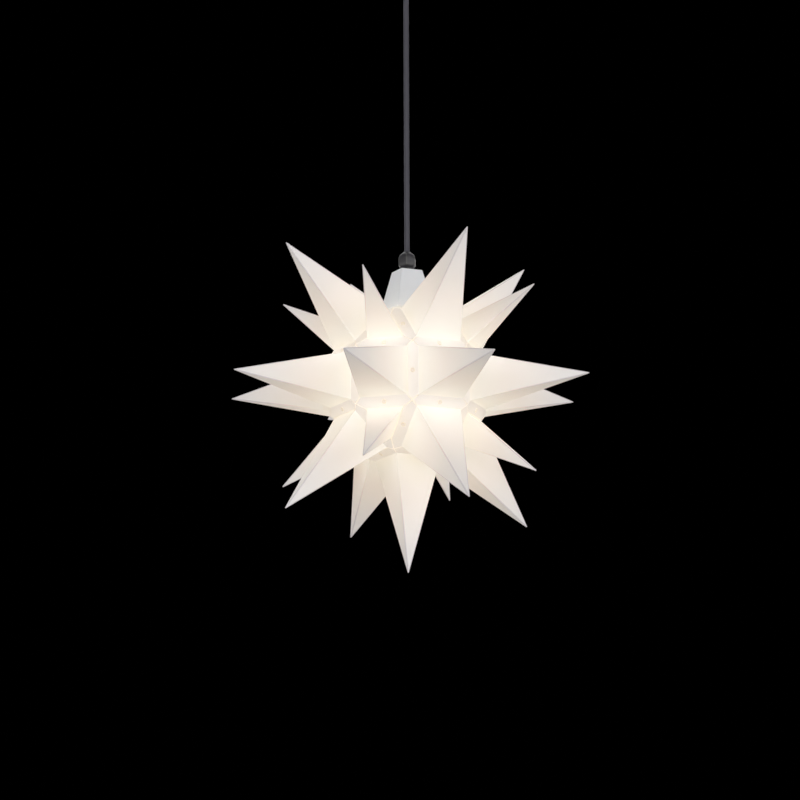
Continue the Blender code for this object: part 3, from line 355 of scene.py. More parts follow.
def shellFinish(look, name):
    # white plastic that the lamp shines through: brightest at the seams, and plain at the tips
    material, tree, shader = startFinish(name, look["roughness"])
    place = objectPlace(tree)
    slow = noiseValue(tree, place, 24, 2.0)
    fine = noiseValue(tree, place, 1500, 2.0)
    rise, ridge, stud, power = [markValue(tree, mark) for mark in ("rise", "ridge", "stud", "tone")]
    # a thin darker line on each ridge, painted shade where less light comes through the fold, which the light
    # near the seams washes out
    line = spread(tree, ridge, 1.0, 0.0, look["ridgeWidth"] * 0.45, look["ridgeWidth"])
    line = calc(tree, "MULTIPLY", line, spread(tree, rise, 0.0, 1.0, 0.1, 0.6))
    base = rampColour(tree, slow, [(0.32, look["shade"]), (0.68, look["plastic"])])
    base = mixColour(tree, line, base, look["ridgeShadeLine"])
    uneven = look["unevenGlow"]
    for value, *limits in (
        (line, 1.0, look["ridgeGlow"]),
        (stud, 1.0, look["studGlow"]),
        (slow, 1 - uneven, 1 + uneven, 0.25, 0.75),
    ):
        power = calc(tree, "MULTIPLY", power, spread(tree, value, *limits))
    glow = rampColour(tree, spread(tree, rise, 0.0, 1.0, flangeRise, 1.0), look["glow"])
    feedNode(tree, shader, {
        # painted shade: the base colour is darker on the ridge lines and on the studs
        "Base Color": mixColour(tree, stud, base, look["stud"]),
        "Emission Color": addNode(tree, "ShaderNodeVectorMath", {0: glow, "Scale": power}, operation="SCALE"),
        "Emission Strength": 1.0,
        "Roughness": spread(tree, slow, look["roughness"] - 0.05, look["roughness"] + 0.05),
        "Normal": bumpFrom(tree, fine, 0.3, 0.00003),
    })
    return material


# each has a name, a colour and its darker shade, a roughness, and the scales of its mottle and grain
finishes = {
    "shell": shellFinish(shellLook, "warm lit star plastic"),
    "hood": shellFinish(hoodLook, "dim lit hood plastic"),
    # the gland nut's lighter edge colour is partly wear, partly a painted highlight
    "gland": wornHighlitPlastic(
        "dark grey gland nylon", (0.048, 0.046, 0.052), (0.038, 0.037, 0.041), (0.085, 0.085, 0.08),
        0.42, 260, 2600,
    ),
    # dark nylon, painted darker than the nut as shade for the collar, which sits in shadow under the nut
    "glandBody": plasticFinish(
        "black gland nylon", (0.024, 0.023, 0.026), (0.018, 0.017, 0.02), 0.45, 260, 2600
    ),
    "rubber": plasticFinish("black seal rubber", (0.02, 0.02, 0.021), (0.014, 0.014, 0.015), 0.78, 300, 3000),
    "cord": plasticFinish(
        "dark cord sheath", (0.062, 0.06, 0.078), (0.05, 0.048, 0.064),
        0.5, 120, 1400, grainDepth=0.00005, stretch=(1, 1, 0.15),
    ),
    "brown": plasticFinish("brown core insulation", (0.19, 0.085, 0.045), (0.15, 0.065, 0.032), 0.45, 200),
    "blue": plasticFinish("blue core insulation", (0.035, 0.15, 0.46), (0.028, 0.12, 0.38), 0.45, 200),
    "holder": plasticFinish("cream holder resin", (0.8, 0.785, 0.74), (0.76, 0.745, 0.7), 0.36, 140),
    "ceramic": plasticFinish("glazed ceramic", (0.86, 0.85, 0.81), (0.81, 0.8, 0.75), 0.2, 60, 500, 0.00001),
    "brass": metalFinish("socket brass", (0.8, 0.61, 0.29), (0.68, 0.48, 0.2), 0.3),
    "nickel": metalFinish("lamp cap nickel", (0.68, 0.66, 0.62), (0.58, 0.56, 0.53), 0.27),
    "lampBlack": plasticFinish("black cap glass", (0.03, 0.03, 0.035), (0.02, 0.02, 0.024), 0.16, 90, 700),
    "lampWhite": plasticFinish("white lamp housing", (0.86, 0.86, 0.85), (0.82, 0.82, 0.81), 0.33, 110),
    "lampBoard": plasticFinish("white board lacquer", (0.78, 0.79, 0.77), (0.7, 0.72, 0.69), 0.4, 500, 1200),
    "globe": globeFinish(
        "lit opal globe", 0.42,
        colours=[(0.88, 0.85, 0.78), (0.92, 0.9, 0.84)], glow=[(0.3, 0.24, 0.15), (0.36, 0.29, 0.19)],
    ),
    "canopy": plasticFinish("satin canopy plastic", (0.72, 0.72, 0.71), (0.69, 0.69, 0.68), 0.38, 55, 1500),
    "steel": metalFinish("zinc plated steel", (0.63, 0.64, 0.65), (0.5, 0.52, 0.54), 0.34, (1, 6, 1), 140),
}
print("finishes made")


# cord
cordSettings = {
    "top": -0.0811,  # metres below the ceiling
    "foot": -0.3637,
    "diameter": 0.0056,
    "points": 22,
    "tail": (-0.364, -0.415, 6),  # from, to, points
    "head": (-0.0432, -0.0258, 4),
    "coreDiameter": 0.002,
    "lampCore": [(0.0013, 0, -0.4153), (0.0055, 0, -0.4214)],  # the brown one's ends
    "ceilingCore": [(0.0013, 0, -0.0255), (0.005, -0.0047, -0.0083)],
}


def makeTube(name, points, diameter, finishName, body, node, rings=6):
    curve = bpy.data.curves.new(name, "CURVE")
    curve.dimensions = "3D"
    curve.bevel_depth = diameter / 2
    curve.bevel_resolution = rings
    curve.use_fill_caps = True
    spline = curve.splines.new("POLY")
    spline.points.add(len(points) - 1)
    for knot, point in zip(spline.points, points):
        knot.co = (*point, 1)
    return finishPiece(linkObject(name, curve), finishName, body, finishName, node)


def straightRun(start, end, count):
    return [(0, 0, start + (end - start) * step / (count - 1)) for step in range(count)]


def bentRun(start, end, bow, count=13):
    # a run that leaves along Z and ends in its terminal; with a bow it climbs first and then turns aside
    run = []
    for step in range(count):
        share = step / (count - 1)
        ease = share * share * (3 - 2 * share)
        forward = 1 - cos(share * pi / 2)
        climb = sin(share * pi / 2) if bow else share
        run.append([a + (b - a) * part for a, b, part in zip(start, end, (ease, forward, climb))])
    return run


def makeCores(size):
    for colour, side in (("brown", 1), ("blue", -1)):
        for kind, body, bow in (("lamp", "pendant_head", False), ("ceiling", "ceiling_fitting", True)):
            ends = [(side * x, y, z) for x, y, z in size[kind + "Core"]]
            name = colour + kind.capitalize() + "Core"
            node = kind + "_core_" + colour
            makeTube(name, bentRun(*ends, bow), size["coreDiameter"], colour, body, node, 3)


cordLine = straightRun(cordSettings["foot"], cordSettings["top"], cordSettings["points"])
tailLine, headLine = straightRun(*cordSettings["tail"]), straightRun(*cordSettings["head"])
cordPiece = makeTube("cordSheath", cordLine, cordSettings["diameter"], "cord", "cord", "cord")
makeTube("cordTail", tailLine, cordSettings["diameter"], "cord", "pendant_head", "cord_tail")
head = makeTube("cordHead", headLine, cordSettings["diameter"], "cord", "ceiling_fitting", "cord_head")
makeCores(cordSettings)
print("cord made")


# star points
coreSizes = {
    "edge": 0.064,
    "wall": 0.001,
    "skirt": 0.0008,  # how far a wall goes on below its flanges
    "endGap": 0.0004,
    "mitreGap": 0.0004,
    "edgeChamfer": 0.00014,
    "holeChamfer": 0.00025,
    "studRadius": 0.0023,
    "studRise": 0.0006,
    "studForm": [  # in from the stud's side, and down from its top
        (0, 0.0004), (0.00012, 0.00012), (0.0004, 0), (0.0011, 0), (0.0013, 0.00015),
    ],
    "studDimple": 0.00022,
    "spokes": 24,  # a flange's rings have at least this many points
    "noRidge": 0.01,  # stands for a place that's far from a ridge
    "innerRidge": 0.6,  # a ridge's inner radius, as a share of the outer one
    "roundest": 0.6,  # the most of a ring's half width that its corners round off
}
coreTilt = pi / 8  # between a square of the core and the seams beside it
midRadius = coreSizes["edge"] * sqrt(4 + 2 * sqrt(2)) / 2
cornerTilt = acos(coreSizes["edge"] * (3 + sqrt(2)) / (2 * sqrt(3)) / midRadius)
squareFace = {
    "sides": 4,
    "tilt": coreTilt,
    "seamHalf": 0.0054,  # between two walls, half of the way across
    "top": 0.2,
    "topHalf": 0.0005,
    "ridgeRadius": 0.0005,
}
cornerFace = {
    **squareFace,
    "sides": 3,
    "tilt": cornerTilt,
    "seamHalf": 0.0065,
    "top": 0.173,
}
hoodFace = {
    "sides": 4,
    "tilt": coreTilt,
    "baseHalf": 0.0225,
    "top": 0.125,
    "topHalf": 0.0123,
    "ridgeRadius": 0.0009,
}
seamPlane = midRadius - squareFace["seamHalf"] * tan(coreTilt)
seamLengthHalf = seamPlane * coreSizes["edge"] / 2 / midRadius
hoodFace["seamHalf"] = (seamPlane * sin(coreTilt) - hoodFace["baseHalf"]) / cos(coreTilt)
upperLevel = (touchGap / 2, touchGap / 2 + coreSizes["wall"])
lowerLevel = (-touchGap / 2 - coreSizes["wall"], -touchGap / 2)


def fitFace(face):
    # adds what follows from the face of the core that a point or the hood stands on
    tilt, seamHalf = face["tilt"], face["seamHalf"]
    baseHalf = seamPlane * sin(tilt) - seamHalf * cos(tilt)
    base = seamPlane * cos(tilt) + seamHalf * sin(tilt)
    face["slope"] = (baseHalf - face["topHalf"]) / (face["top"] - base)
    face["lean"] = atan(face["slope"])
    face["slant"] = tan(tilt + face["lean"])
    face["wall"] = coreSizes["wall"] / cos(face["lean"])
    face["foot"] = base - (coreSizes["wall"] + touchGap / 2) / cos(tilt) - coreSizes["skirt"]
    face["mitre"] = cos(tilt) * tan(pi / face["sides"])


def foldHeight(face, highest):
    # where the walls rise out of the flanges
    out = face["seamHalf"] + highest * face["slant"]
    return (seamPlane + highest) * cos(face["tilt"]) + out * sin(face["tilt"])


def wallRing(face, height, share=1.0, less=0.0, inner=False):
    # a regular outline with rounded corners, how far each of its places is from a ridge, and its height
    half = (face["topHalf"] + (face["top"] - height) * face["slope"]) * share - less
    radius = face["ridgeRadius"]
    if inner:
        half, radius = half - face["wall"], radius * coreSizes["innerRidge"]
    turn = 2 * pi / face["sides"]
    radius = min(radius, half * coreSizes["roundest"])
    reach = (half - radius) / cos(turn / 2)
    straight = (half - radius) * tan(turn / 2)
    support = min(0.0004, straight * 0.2)  # between a corner and the point beside it
    ring, gaps = [], []
    for side in range(face["sides"]):
        middle = turn * side
        out = (cos(middle), sin(middle))
        along = (-sin(middle), cos(middle))
        for place in (-straight + support, -straight * 0.5, 0, straight * 0.5, straight - support):
            ring.append((out[0] * half + along[0] * place, out[1] * half + along[1] * place, height))
            gaps.append(straight - abs(place))
        corner = turn * (side + 0.5)
        for step in range(6):
            angle = middle + turn * step / 5
            ring.append((
                reach * cos(corner) + radius * cos(angle),
                reach * sin(corner) + radius * sin(angle),
                height,
            ))
            gaps.append(0.0)
    return ring, [coreSizes["noRidge"]] * len(ring) if inner else gaps, height


def stackBody(face, fold, stack, closed=False):
    # a body of stacked rings, with each point's rise up the wall and its distance from a ridge
    rings, rise, ridge = [], [], []
    for ring, gaps, height in stack:
        rings.append(ring)
        rise += [(height - fold) / (face["top"] - fold)] * len(ring)
        ridge += gaps
    points, faces = joinRings(rings, closed)
    return points, faces, rise, ridge, [0.0] * len(points)


def wallBody(face, levels):
    # the hollow pyramid, closed at its tip and open at its foot
    top, foot, fold = face["top"], face["foot"], foldHeight(face, max(high for low, high in levels))
    full = top - fold
    innerTip = top - (face["wall"] - face["topHalf"]) / face["slope"]
    stack = [([(0, 0, top)], [0.0], top)]
    stack += [wallRing(face, top - below, share) for below, share in ((0.00008, 0.55), (0.0003, 0.86))]
    stack += [wallRing(face, fold + full * share) for share in (0.985, 0.93, 0.8, 0.6, 0.4, 0.2, 0.05, 0.0)]
    stack += [wallRing(face, foot), wallRing(face, foot, inner=True)]
    stack += [wallRing(face, fold + full * share, inner=True) for share in (0.0, 0.3, 0.6, 0.85)]
    stack.append(([(0, 0, innerTip)], [coreSizes["noRidge"]], innerTip))
    return stackBody(face, fold, stack)


def seamFrame(face, side):
    # one seam beside a face: X along it, Y away from the face, Z out of the star
    angle = 2 * pi * side / face["sides"]
    out = Vector((cos(angle), sin(angle), 0))
    up = Vector((0, 0, 1))
    normal = up * cos(face["tilt"]) + out * sin(face["tilt"])
    across = out * cos(face["tilt"]) - up * sin(face["tilt"])
    turned = Matrix((across.cross(normal), across, normal)).transposed().to_4x4()
    turned.translation = normal * seamPlane
    return turned


def flangeOutline(face, neighbour, level):
    low, high = level
    middle = seamLengthHalf * (seamPlane + low) / seamPlane
    near, halfWall = -face["seamHalf"], coreSizes["wall"] / 2

    def halfLength(across):
        taper = face["mitre"] if across < 0 else neighbour["mitre"]
        return middle - taper * abs(across) - coreSizes["mitreGap"] / 2 * hypot(1, taper)

    root = near - (low + high) / 2 * face["slant"] - halfWall
    end = neighbour["seamHalf"] - coreSizes["endGap"] - max(0, -low) * neighbour["slant"]
    edge = [(halfLength(near) - halfWall, root)]
    edge += [(halfLength(across), across) for across in (near, 0, end)]
    return edge + [(-along, across) for along, across in reversed(edge)]


def castToOutline(outline, angle):
    # where a ray from the middle meets the outline, which has the middle inside it
    ray = (cos(angle), sin(angle))
    best = None
    for (ax, ay), (bx, by) in zip(outline, outline[1:] + outline[:1]):
        dx, dy = bx - ax, by - ay
        cross = ray[0] * dy - ray[1] * dx
        if abs(cross) < 1e-12:
            continue
        reach = (ax * dy - ay * dx) / cross
        share = (ax * ray[1] - ay * ray[0]) / cross
        if reach > 0 and -1e-9 <= share <= 1 + 1e-9 and (best is None or reach < best):
            best = reach
    return best


def flangeBody(face, side, neighbour, level):
    # a flange in one closed piece: an upper one has a hole, and a lower one a stud
    low, high = level
    isUpper = level == upperLevel
    outline = flangeOutline(face, neighbour, level)
    spokes = coreSizes["spokes"]
    angles = [atan2(across, along) for along, across in outline]
    angles += [2 * pi * (step + 0.5) / spokes - pi for step in range(spokes)]
    angles.sort()
    angles = [a for a, b in zip(angles, angles[1:] + [angles[0] + 2 * pi]) if b - a > 0.02]
    reaches = [castToOutline(outline, angle) for angle in angles]
    chamfer, bevel, stud = coreSizes["edgeChamfer"], coreSizes["holeChamfer"], coreSizes["studRadius"]
    rim = [
        ringAt(angles, reaches, low), ringAt(angles, reaches, high - chamfer),
        ringAt(angles, [reach - chamfer for reach in reaches], high),
    ]
    if isUpper:
        hole = stud + touchGap
        rings = [ringAt(angles, hole, low), *rim]
        rings += [ringAt(angles, hole + bevel, high), ringAt(angles, hole, high - bevel)]
        studFrom = len(rings)
    else:
        top = upperLevel[1] + coreSizes["studRise"]
        rings = [[(0, 0, low)], *rim, ringAt(angles, stud, high)]
        rings += [ringAt(angles, stud - less, top - below) for less, below in coreSizes["studForm"]]
        rings.append([(0, 0, top - coreSizes["studDimple"])])
        studFrom = 1 + len(rim)
    fold = -face["seamHalf"] - high * face["slant"]
    width = outline[3][1] - fold
    rise, isStud = [], []
    for index, ring in enumerate(rings):
        rise += [flangeRise * min(1.0, max(0.0, (across - fold) / width)) for _, across, _ in ring]
        isStud += [float(index >= studFrom)] * len(ring)
    points, faces = joinRings(rings, isUpper)
    turned = seamFrame(face, side)
    points = [tuple(turned @ Vector(point)) for point in points]
    return points, faces, rise, [coreSizes["noRidge"]] * len(points), isStud


def gatherBodies(name, bodies):
    points, faces, marks = [], [], {"rise": [], "ridge": [], "stud": []}
    for bodyPoints, bodyFaces, *bodyMarks in bodies:
        faces += [[len(points) + index for index in face] for face in bodyFaces]
        points += bodyPoints
        for values, bodyValues in zip(marks.values(), bodyMarks):
            values += bodyValues
    return makeMesh(name, points, faces, marks)


def pointMesh(name, face, neighbours):
    bodies = [wallBody(face, [level for _, level in neighbours])]
    bodies += [flangeBody(face, side, *neighbour) for side, neighbour in enumerate(neighbours)]
    return gatherBodies(name, bodies)


for face in (squareFace, cornerFace, hoodFace):
    fitFace(face)


# the tree that sets the points round the core
shellSettings = {
    "Square point": "Object",
    "Edge point": "Object",
    "Three-sided point": "Object",
    "Star centre": tuple(starCentre),
    "Tone spread": 0.06,
    "Tone seed": 11,
    "Plastic": "Material",
}


def newTree(name, settings):
    # a tree whose inputs have these names, with a value each or the kind of thing to come
    tree = bpy.data.node_groups.new(name, "GeometryNodeTree")

    def addSocket(label, kind, direction="INPUT"):
        return tree.interface.new_socket(name=label, in_out=direction, socket_type="NodeSocket" + kind)

    addSocket("Geometry", "Geometry")
    for label, value in settings.items():
        if isinstance(value, str):
            addSocket(label, value)
        else:
            addSocket(label, {float: "Float", int: "Int", tuple: "Vector"}[type(value)]).default_value = value
    addSocket("Geometry", "Geometry", "OUTPUT")
    return tree, tree.nodes.new("NodeGroupInput").outputs


def closeTree(tree, parts, material):
    # joins the parts, makes them real and sets their material
    joined = addNode(tree, "GeometryNodeJoinGeometry")
    for part in parts:
        tree.links.new(part, joined.node.inputs[0])
    real = addNode(tree, "GeometryNodeRealizeInstances", {"Geometry": joined})
    dressed = addNode(tree, "GeometryNodeSetMaterial", {"Geometry": real, "Material": material})
    tree.links.new(dressed, tree.nodes.new("NodeGroupOutput").inputs[0])
    return tree


def placeShape(tree, shape, inputs):
    # a copy of an object's shape on each point
    info = addNode(tree, "GeometryNodeObjectInfo", {"Object": shape, "As Instance": True}, "Geometry")
    return addNode(tree, "GeometryNodeInstanceOnPoints", {"Instance": info, **inputs})


def applyTree(piece, tree, values):
    # bakes a tree with these inputs, and takes away the models that it placed
    modifier = piece.modifiers.new(tree.name, "NODES")
    modifier.node_group = tree
    for item in tree.interface.items_tree:
        if item.in_out == "INPUT" and item.name in values:
            modifier[item.identifier] = values[item.name]
    bake(piece)
    for value in values.values():
        if isinstance(value, bpy.types.Object):
            bpy.data.objects.remove(value, do_unlink=True)
    return piece


def shellTree():
    # a point on every face of the core but the top one, from a cube of three points a side
    tree, given = newTree("starShellPoints", shellSettings)
    cubeSizes = {"Size": (2, 2, 2), "Vertices X": 3, "Vertices Y": 3, "Vertices Z": 3}
    cube = addNode(tree, "GeometryNodeMeshCube", cubeSizes, "Mesh")
    position = addNode(tree, "GeometryNodeInputPosition")

    def vectorCalc(operation, first, second, output=0):
        return addNode(tree, "ShaderNodeVectorMath", {0: first, 1: second}, output, operation=operation)

    def store(geometry, name, value, **kinds):
        values = {"Geometry": geometry, "Name": name, "Value": value}
        return addNode(tree, "GeometryNodeStoreNamedAttribute", values, **kinds)

    fromTop = vectorCalc("DISTANCE", position, (0, 0, 1), "Value")
    isTop = addNode(tree, "FunctionNodeCompare", {0: fromTop, 1: 0.1}, operation="LESS_THAN")
    rest = addNode(tree, "GeometryNodeDeleteGeometry", {"Geometry": cube, "Selection": isTop})
    stored = store(rest, "direction", position, data_type="FLOAT_VECTOR", domain="POINT")
    centred = addNode(tree, "GeometryNodeSetPosition", {"Geometry": stored, "Position": given["Star centre"]})
    direction = addNode(
        tree, "GeometryNodeInputNamedAttribute", {"Name": "direction"}, "Attribute", data_type="FLOAT_VECTOR"
    )
    # the kind of face is the number of axes that its direction has a share of
    count = vectorCalc("DOT_PRODUCT", direction, direction, "Value")
    size = addNode(tree, "ShaderNodeVectorMath", {0: direction}, operation="ABSOLUTE")
    parts = addNode(tree, "ShaderNodeSeparateXYZ", {0: size}).node.outputs
    # which way each kind's first side faces
    squareBeside = combine(tree, parts[2], z=calc(tree, "SUBTRACT", 1.0, parts[2]))
    edgeMask = combine(tree, 1.0, calc(tree, "SUBTRACT", 1.0, parts[0]))
    kinds = {
        "Square point": squareBeside,
        "Edge point": vectorCalc("MULTIPLY", direction, edgeMask),
        "Three-sided point": vectorCalc("MULTIPLY", direction, (1, 1, 0)),
    }
    least = calc(tree, "SUBTRACT", 1.0, given["Tone spread"])
    most = calc(tree, "ADD", 1.0, given["Tone spread"])
    toned = []
    for number, (label, beside) in enumerate(kinds.items(), 1):
        limits = {0: count, 1: number, "Epsilon": 0.1}
        chosen = addNode(tree, "FunctionNodeCompare", limits, operation="EQUAL")
        turn = addNode(tree, "FunctionNodeAxesToRotation", {
            "Primary Axis": direction, "Secondary Axis": beside,
        }, primary_axis="Z", secondary_axis="X")
        placed = placeShape(tree, given[label], {"Points": centred, "Selection": chosen, "Rotation": turn})
        seed = calc(tree, "ADD", given["Tone seed"], number)
        limits = {2: least, 3: most, "Seed": seed}
        tone = addNode(tree, "FunctionNodeRandomValue", limits, 1, data_type="FLOAT")
        toned.append(store(placed, "tone", tone, data_type="FLOAT", domain="INSTANCE"))
    return closeTree(tree, toned, given["Plastic"])


def makeShell():
    upper, lower = (squareFace, upperLevel), (squareFace, lowerLevel)
    meshes = {
        "Square point": pointMesh("squarePoint", squareFace, [upper] * 4),
        "Edge point": pointMesh("edgePoint", squareFace, [lower, (cornerFace, upperLevel)] * 2),
        "Three-sided point": pointMesh("threeSidedPoint", cornerFace, [lower] * 3),
    }
    values = {label: linkObject(mesh.name, mesh) for label, mesh in meshes.items()}
    values["Plastic"] = finishes["shell"]
    return applyTree(linkObject("starPoints", bpy.data.meshes.new("starPoints")), shellTree(), values)


shellNodes = [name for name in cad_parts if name.startswith(("point_", "corner_point_"))]
shell = makeShell()
finishPiece(shell, "shell", "star_shell", "star", *shellNodes)
print("star points made:", len(shell.data.polygons), "faces for", len(shellNodes), "nodes")


# hood
hoodSettings = {
    "plate": 0.002,
    "hole": 0.0052,
    "holeChamfer": 0.0002,
    "rim": [  # in from the hood's side, and down from its top
        (0.0014, 0.0), (0.0005, 0.0), (0.00015, 0.00015), (0.0, 0.0005), (0.0, 0.0012),
    ],
}


def hoodBody(face, size):
    # the hood's walls and top plate, with the gland's hole, in one closed piece
    top, ceiling, hole, chamfer = face["top"], face["top"] - size["plate"], size["hole"], size["holeChamfer"]
    fold = foldHeight(face, upperLevel[1])
    angles = [atan2(y, x) for x, y, _ in wallRing(face, top)[0]]
    plain = [coreSizes["noRidge"]] * len(angles)
    stack = [
        (ringAt(angles, reach, height), plain, height)
        for reach, height in ((hole, ceiling), (hole, top - chamfer), (hole + chamfer, top))
    ]
    stack += [wallRing(face, top - below, less=less) for less, below in size["rim"]]
    stack += [wallRing(face, fold + (top - fold) * share) for share in (0.9, 0.7, 0.5, 0.3, 0.1, 0.0)]
    stack.append(wallRing(face, face["foot"]))
    stack += [wallRing(face, height, inner=True) for height in (face["foot"], fold, ceiling)]
    return stackBody(face, fold, stack, closed=True)


def makeHood(face, size):
    bodies = [hoodBody(face, size)]
    bodies += [flangeBody(face, side, squareFace, upperLevel) for side in range(face["sides"])]
    mesh = gatherBodies("hoodCap", bodies)
    tone = mesh.attributes.new("tone", "FLOAT", "POINT")
    tone.data.foreach_set("value", [1.0] * len(mesh.vertices))
    mesh.transform(Matrix.Translation(starCentre))
    finishPiece(linkObject("hoodCap", mesh), "hood", "pendant_head", "star", "hood")


makeHood(hoodFace, hoodSettings)
print("hood made")


# cable gland
glandSettings = {
    "washerFoot": 0.1253,
    "washerHeight": 0.0006,
    "washerRadius": 0.0078,
    "washerHole": 0.0052,
    "shankFoot": 0.098,
    "shankRadius": 0.0049,
    "bodyBore": 0.0033,
    "collarFoot": 0.1262,
    "collarHeight": 0.0022,
    "collarHalf": 0.0075,
    "neckRadius": 0.006,
    "neckTop": 0.1359,
    "nutFoot": 0.1287,
    "nutHeight": 0.0173,
    "nutHalf": 0.0088,
    "nutBore": 0.0031,
    "sealTop": 0.1392,
}


def hexagon(half, corner=1.138):
    # a hexagon's radius with rounded corners, one of them at angle 0
    return lambda angle: min(half / cos(angle % (pi / 3) - pi / 6), half * corner)


def between(half, circle, share):
    # from a hexagon, at share 0, to a circle, at share 1
    shape = hexagon(half)
    return lambda angle: shape(angle) * (1 - share) + circle * share


def makeGland(size):
    foot, height, half, bore = size["nutFoot"], size["nutHeight"], size["nutHalf"], size["nutBore"]
    cavity, roof = size["neckRadius"] + touchGap, size["sealTop"] + touchGap

    def up(share):
        return foot + height * share

    def wornAndHighlit(angle, reach, level):
        # the corners and rims of the nut, which are lighter: partly rubbed wear, partly a painted highlight
        # where they catch the light
        off = abs((angle + pi / 6) % (pi / 3) - pi / 6)
        corner = max(0.0, 1 - off / 0.1) if up(0.06) < level < up(0.84) else 0.0
        rim = 0.4 if up(0.1) < level < up(0.17) else 0.0
        return max(corner, rim) if reach > cavity else 0.0

    outside = [  # radius, share of the height
        (cavity, 0), (0.0068, 0), (0.0072, 0.012), (between(0.008, 0.008, 0.5), 0.075),
        (hexagon(half * 0.982), 0.125), (hexagon(half), 0.16), (hexagon(half), 0.32), (hexagon(half), 0.47),
        (hexagon(half * 0.993), 0.53), (hexagon(half * 0.965), 0.6),
        (between(half * 0.93, 0.009, 0.1), 0.66), (between(half * 0.89, 0.0085, 0.25), 0.72),
        (between(half * 0.85, 0.0078, 0.55), 0.775), (0.0073, 0.815), (0.007, 0.835), (0.0058, 0.885),
        (0.0048, 0.93), (0.0041, 0.965), (0.0037, 0.99), (0.0035, 1), (bore + 0.0001, 1), (bore, 0.985),
    ]
    nut = [(reach, up(share)) for reach, share in outside] + [(bore, roof), (cavity, roof)]
    nutPiece = turnPiece("glandCapNut", nut, 144, wornAndHighlit=wornAndHighlit)
    finishPiece(nutPiece, "gland", "pendant_head", "gland", "gland_cap_nut")
    collar, collarHalf = size["collarFoot"], size["collarHalf"]
    top = collar + size["collarHeight"]
    shank, shankFoot, bore = size["shankRadius"], size["shankFoot"], size["bodyBore"]
    body = [
        (bore, shankFoot), (shank - 0.0002, shankFoot), (shank, shankFoot + 0.0003), (shank, collar),
        (between(collarHalf * 0.97, collarHalf, 0.5), collar), (hexagon(collarHalf), collar + 0.0004),
        (hexagon(collarHalf), top - 0.0004), (between(collarHalf * 0.97, collarHalf, 0.5), top),
        (size["neckRadius"], top), (size["neckRadius"], size["neckTop"]), (bore, size["neckTop"]),
    ]
    finishPiece(turnPiece("glandBody", body, 96), "glandBody", "pendant_head", "gland", "gland_body")
    low, hole, rim = size["washerFoot"], size["washerHole"], size["washerRadius"]
    high = low + size["washerHeight"]
    washer = turnPiece("glandWasher", [(hole, low), (rim, low), (rim, high), (hole, high)], 72)
    finishPiece(softenEdges(washer, 0.00012), "rubber", "pendant_head", "rubber", "gland_washer")


makeGland(glandSettings)
print("gland made")


# lampholder and lamp
holderSettings = {
    "radius": 0.0135,
    "top": 0.108,
    "hole": 0.0052,
    "capFoot": 0.088,
    "foot": 0.0577,
    "gripRibs": 36,
    "gripDepth": 0.0003,
    "socketTop": 0.0823,
    "socketWall": 0.0009,
    "thread": 0.00655,
    "threadDepth": 0.0004,
    "threadClearance": 0.0005,
    "pitch": 0.00282,
}


def ribbed(radius, count, depth):
    return lambda angle: radius - depth * (0.5 - 0.5 * cos(count * angle))


def threadRows(mean, top, foot, depth, pitch, steps=12):
    # rings of a knuckle thread by height above the star's centre, run out at both ends
    count = round((top - foot) / pitch * steps)

    def row(height, fade):
        return lambda angle: mean + depth * fade * cos(2 * pi * height / pitch - angle)

    rows = []
    for step in range(count + 1):
        height = top + (foot - top) * step / count
        fade = min(1.0, step / 4, (count - step) / 4)
        rows.append((row(height, fade), height))
    return rows


def makeHolder(size):
    radius, top, hole = size["radius"], size["top"], size["hole"]
    capFoot, foot, depth = size["capFoot"], size["foot"], size["threadDepth"]
    grip = ribbed(radius, size["gripRibs"], size["gripDepth"])
    cap = [
        (hole, top), (0.0088, top), (0.0095, top - 0.0003), (0.0115, top - 0.0018), (0.0129, top - 0.0036),
        (radius, top - 0.0054), (radius, top - 0.0068), (grip, top - 0.0074), (grip, capFoot + 0.0022),
        (radius, capFoot + 0.0016), (radius, capFoot + 0.0002), (radius - 0.0002, capFoot), (0.012, capFoot),
        (0.012, top - 0.004), (0.008, top - 0.0025), (hole, top - 0.0025),
    ]
    finishPiece(turnPiece("holderCap", cap, 144), "holder", "pendant_head", "holder", "lampholder_cap")
    bodyTop = capFoot - touchGap
    body = [
        (0.0103, bodyTop + 0.0042), (0.0117, bodyTop + 0.0042), (0.0117, bodyTop), (radius - 0.0002, bodyTop),
        (radius, bodyTop - 0.0002), (radius, bodyTop - 0.003), (grip, bodyTop - 0.0036), (grip, foot + 0.009),
        (radius, foot + 0.0084), (radius, foot + 0.0015), (radius - 0.0005, foot + 0.0004),
        (radius - 0.0015, foot), (0.009, foot), (0.009, bodyTop - 0.0054), (0.0103, bodyTop - 0.0054),
    ]
    finishPiece(turnPiece("holderBody", body, 144), "holder", "pendant_head", "holder", "lampholder_body")
    mean = size["thread"] + size["threadClearance"]
    socketTop, socketFoot, outside = size["socketTop"], foot + 0.0015, mean + depth + size["socketWall"]
    socket = threadRows(mean, socketTop, socketFoot, depth, size["pitch"])
    step = socketTop - 0.0012
    socket += [(outside, socketFoot), (outside, step), (0.0087, step), (0.0087, socketTop)]
    finishPiece(turnPiece("holderSocket", socket, 64), "brass", "pendant_head", "brass", "lampholder_socket")


lampSettings = {
    "capFoot": 0.057,
    "capHeight": 0.019,
    "flareHeight": 0.002,
    "housingFoot": 0.0409,
    "housingRadius": 0.0153,
    "boardRadius": 0.0138,
    "globeRadius": 0.0225,
    "globeWall": 0.0012,
    "fins": 28,
}


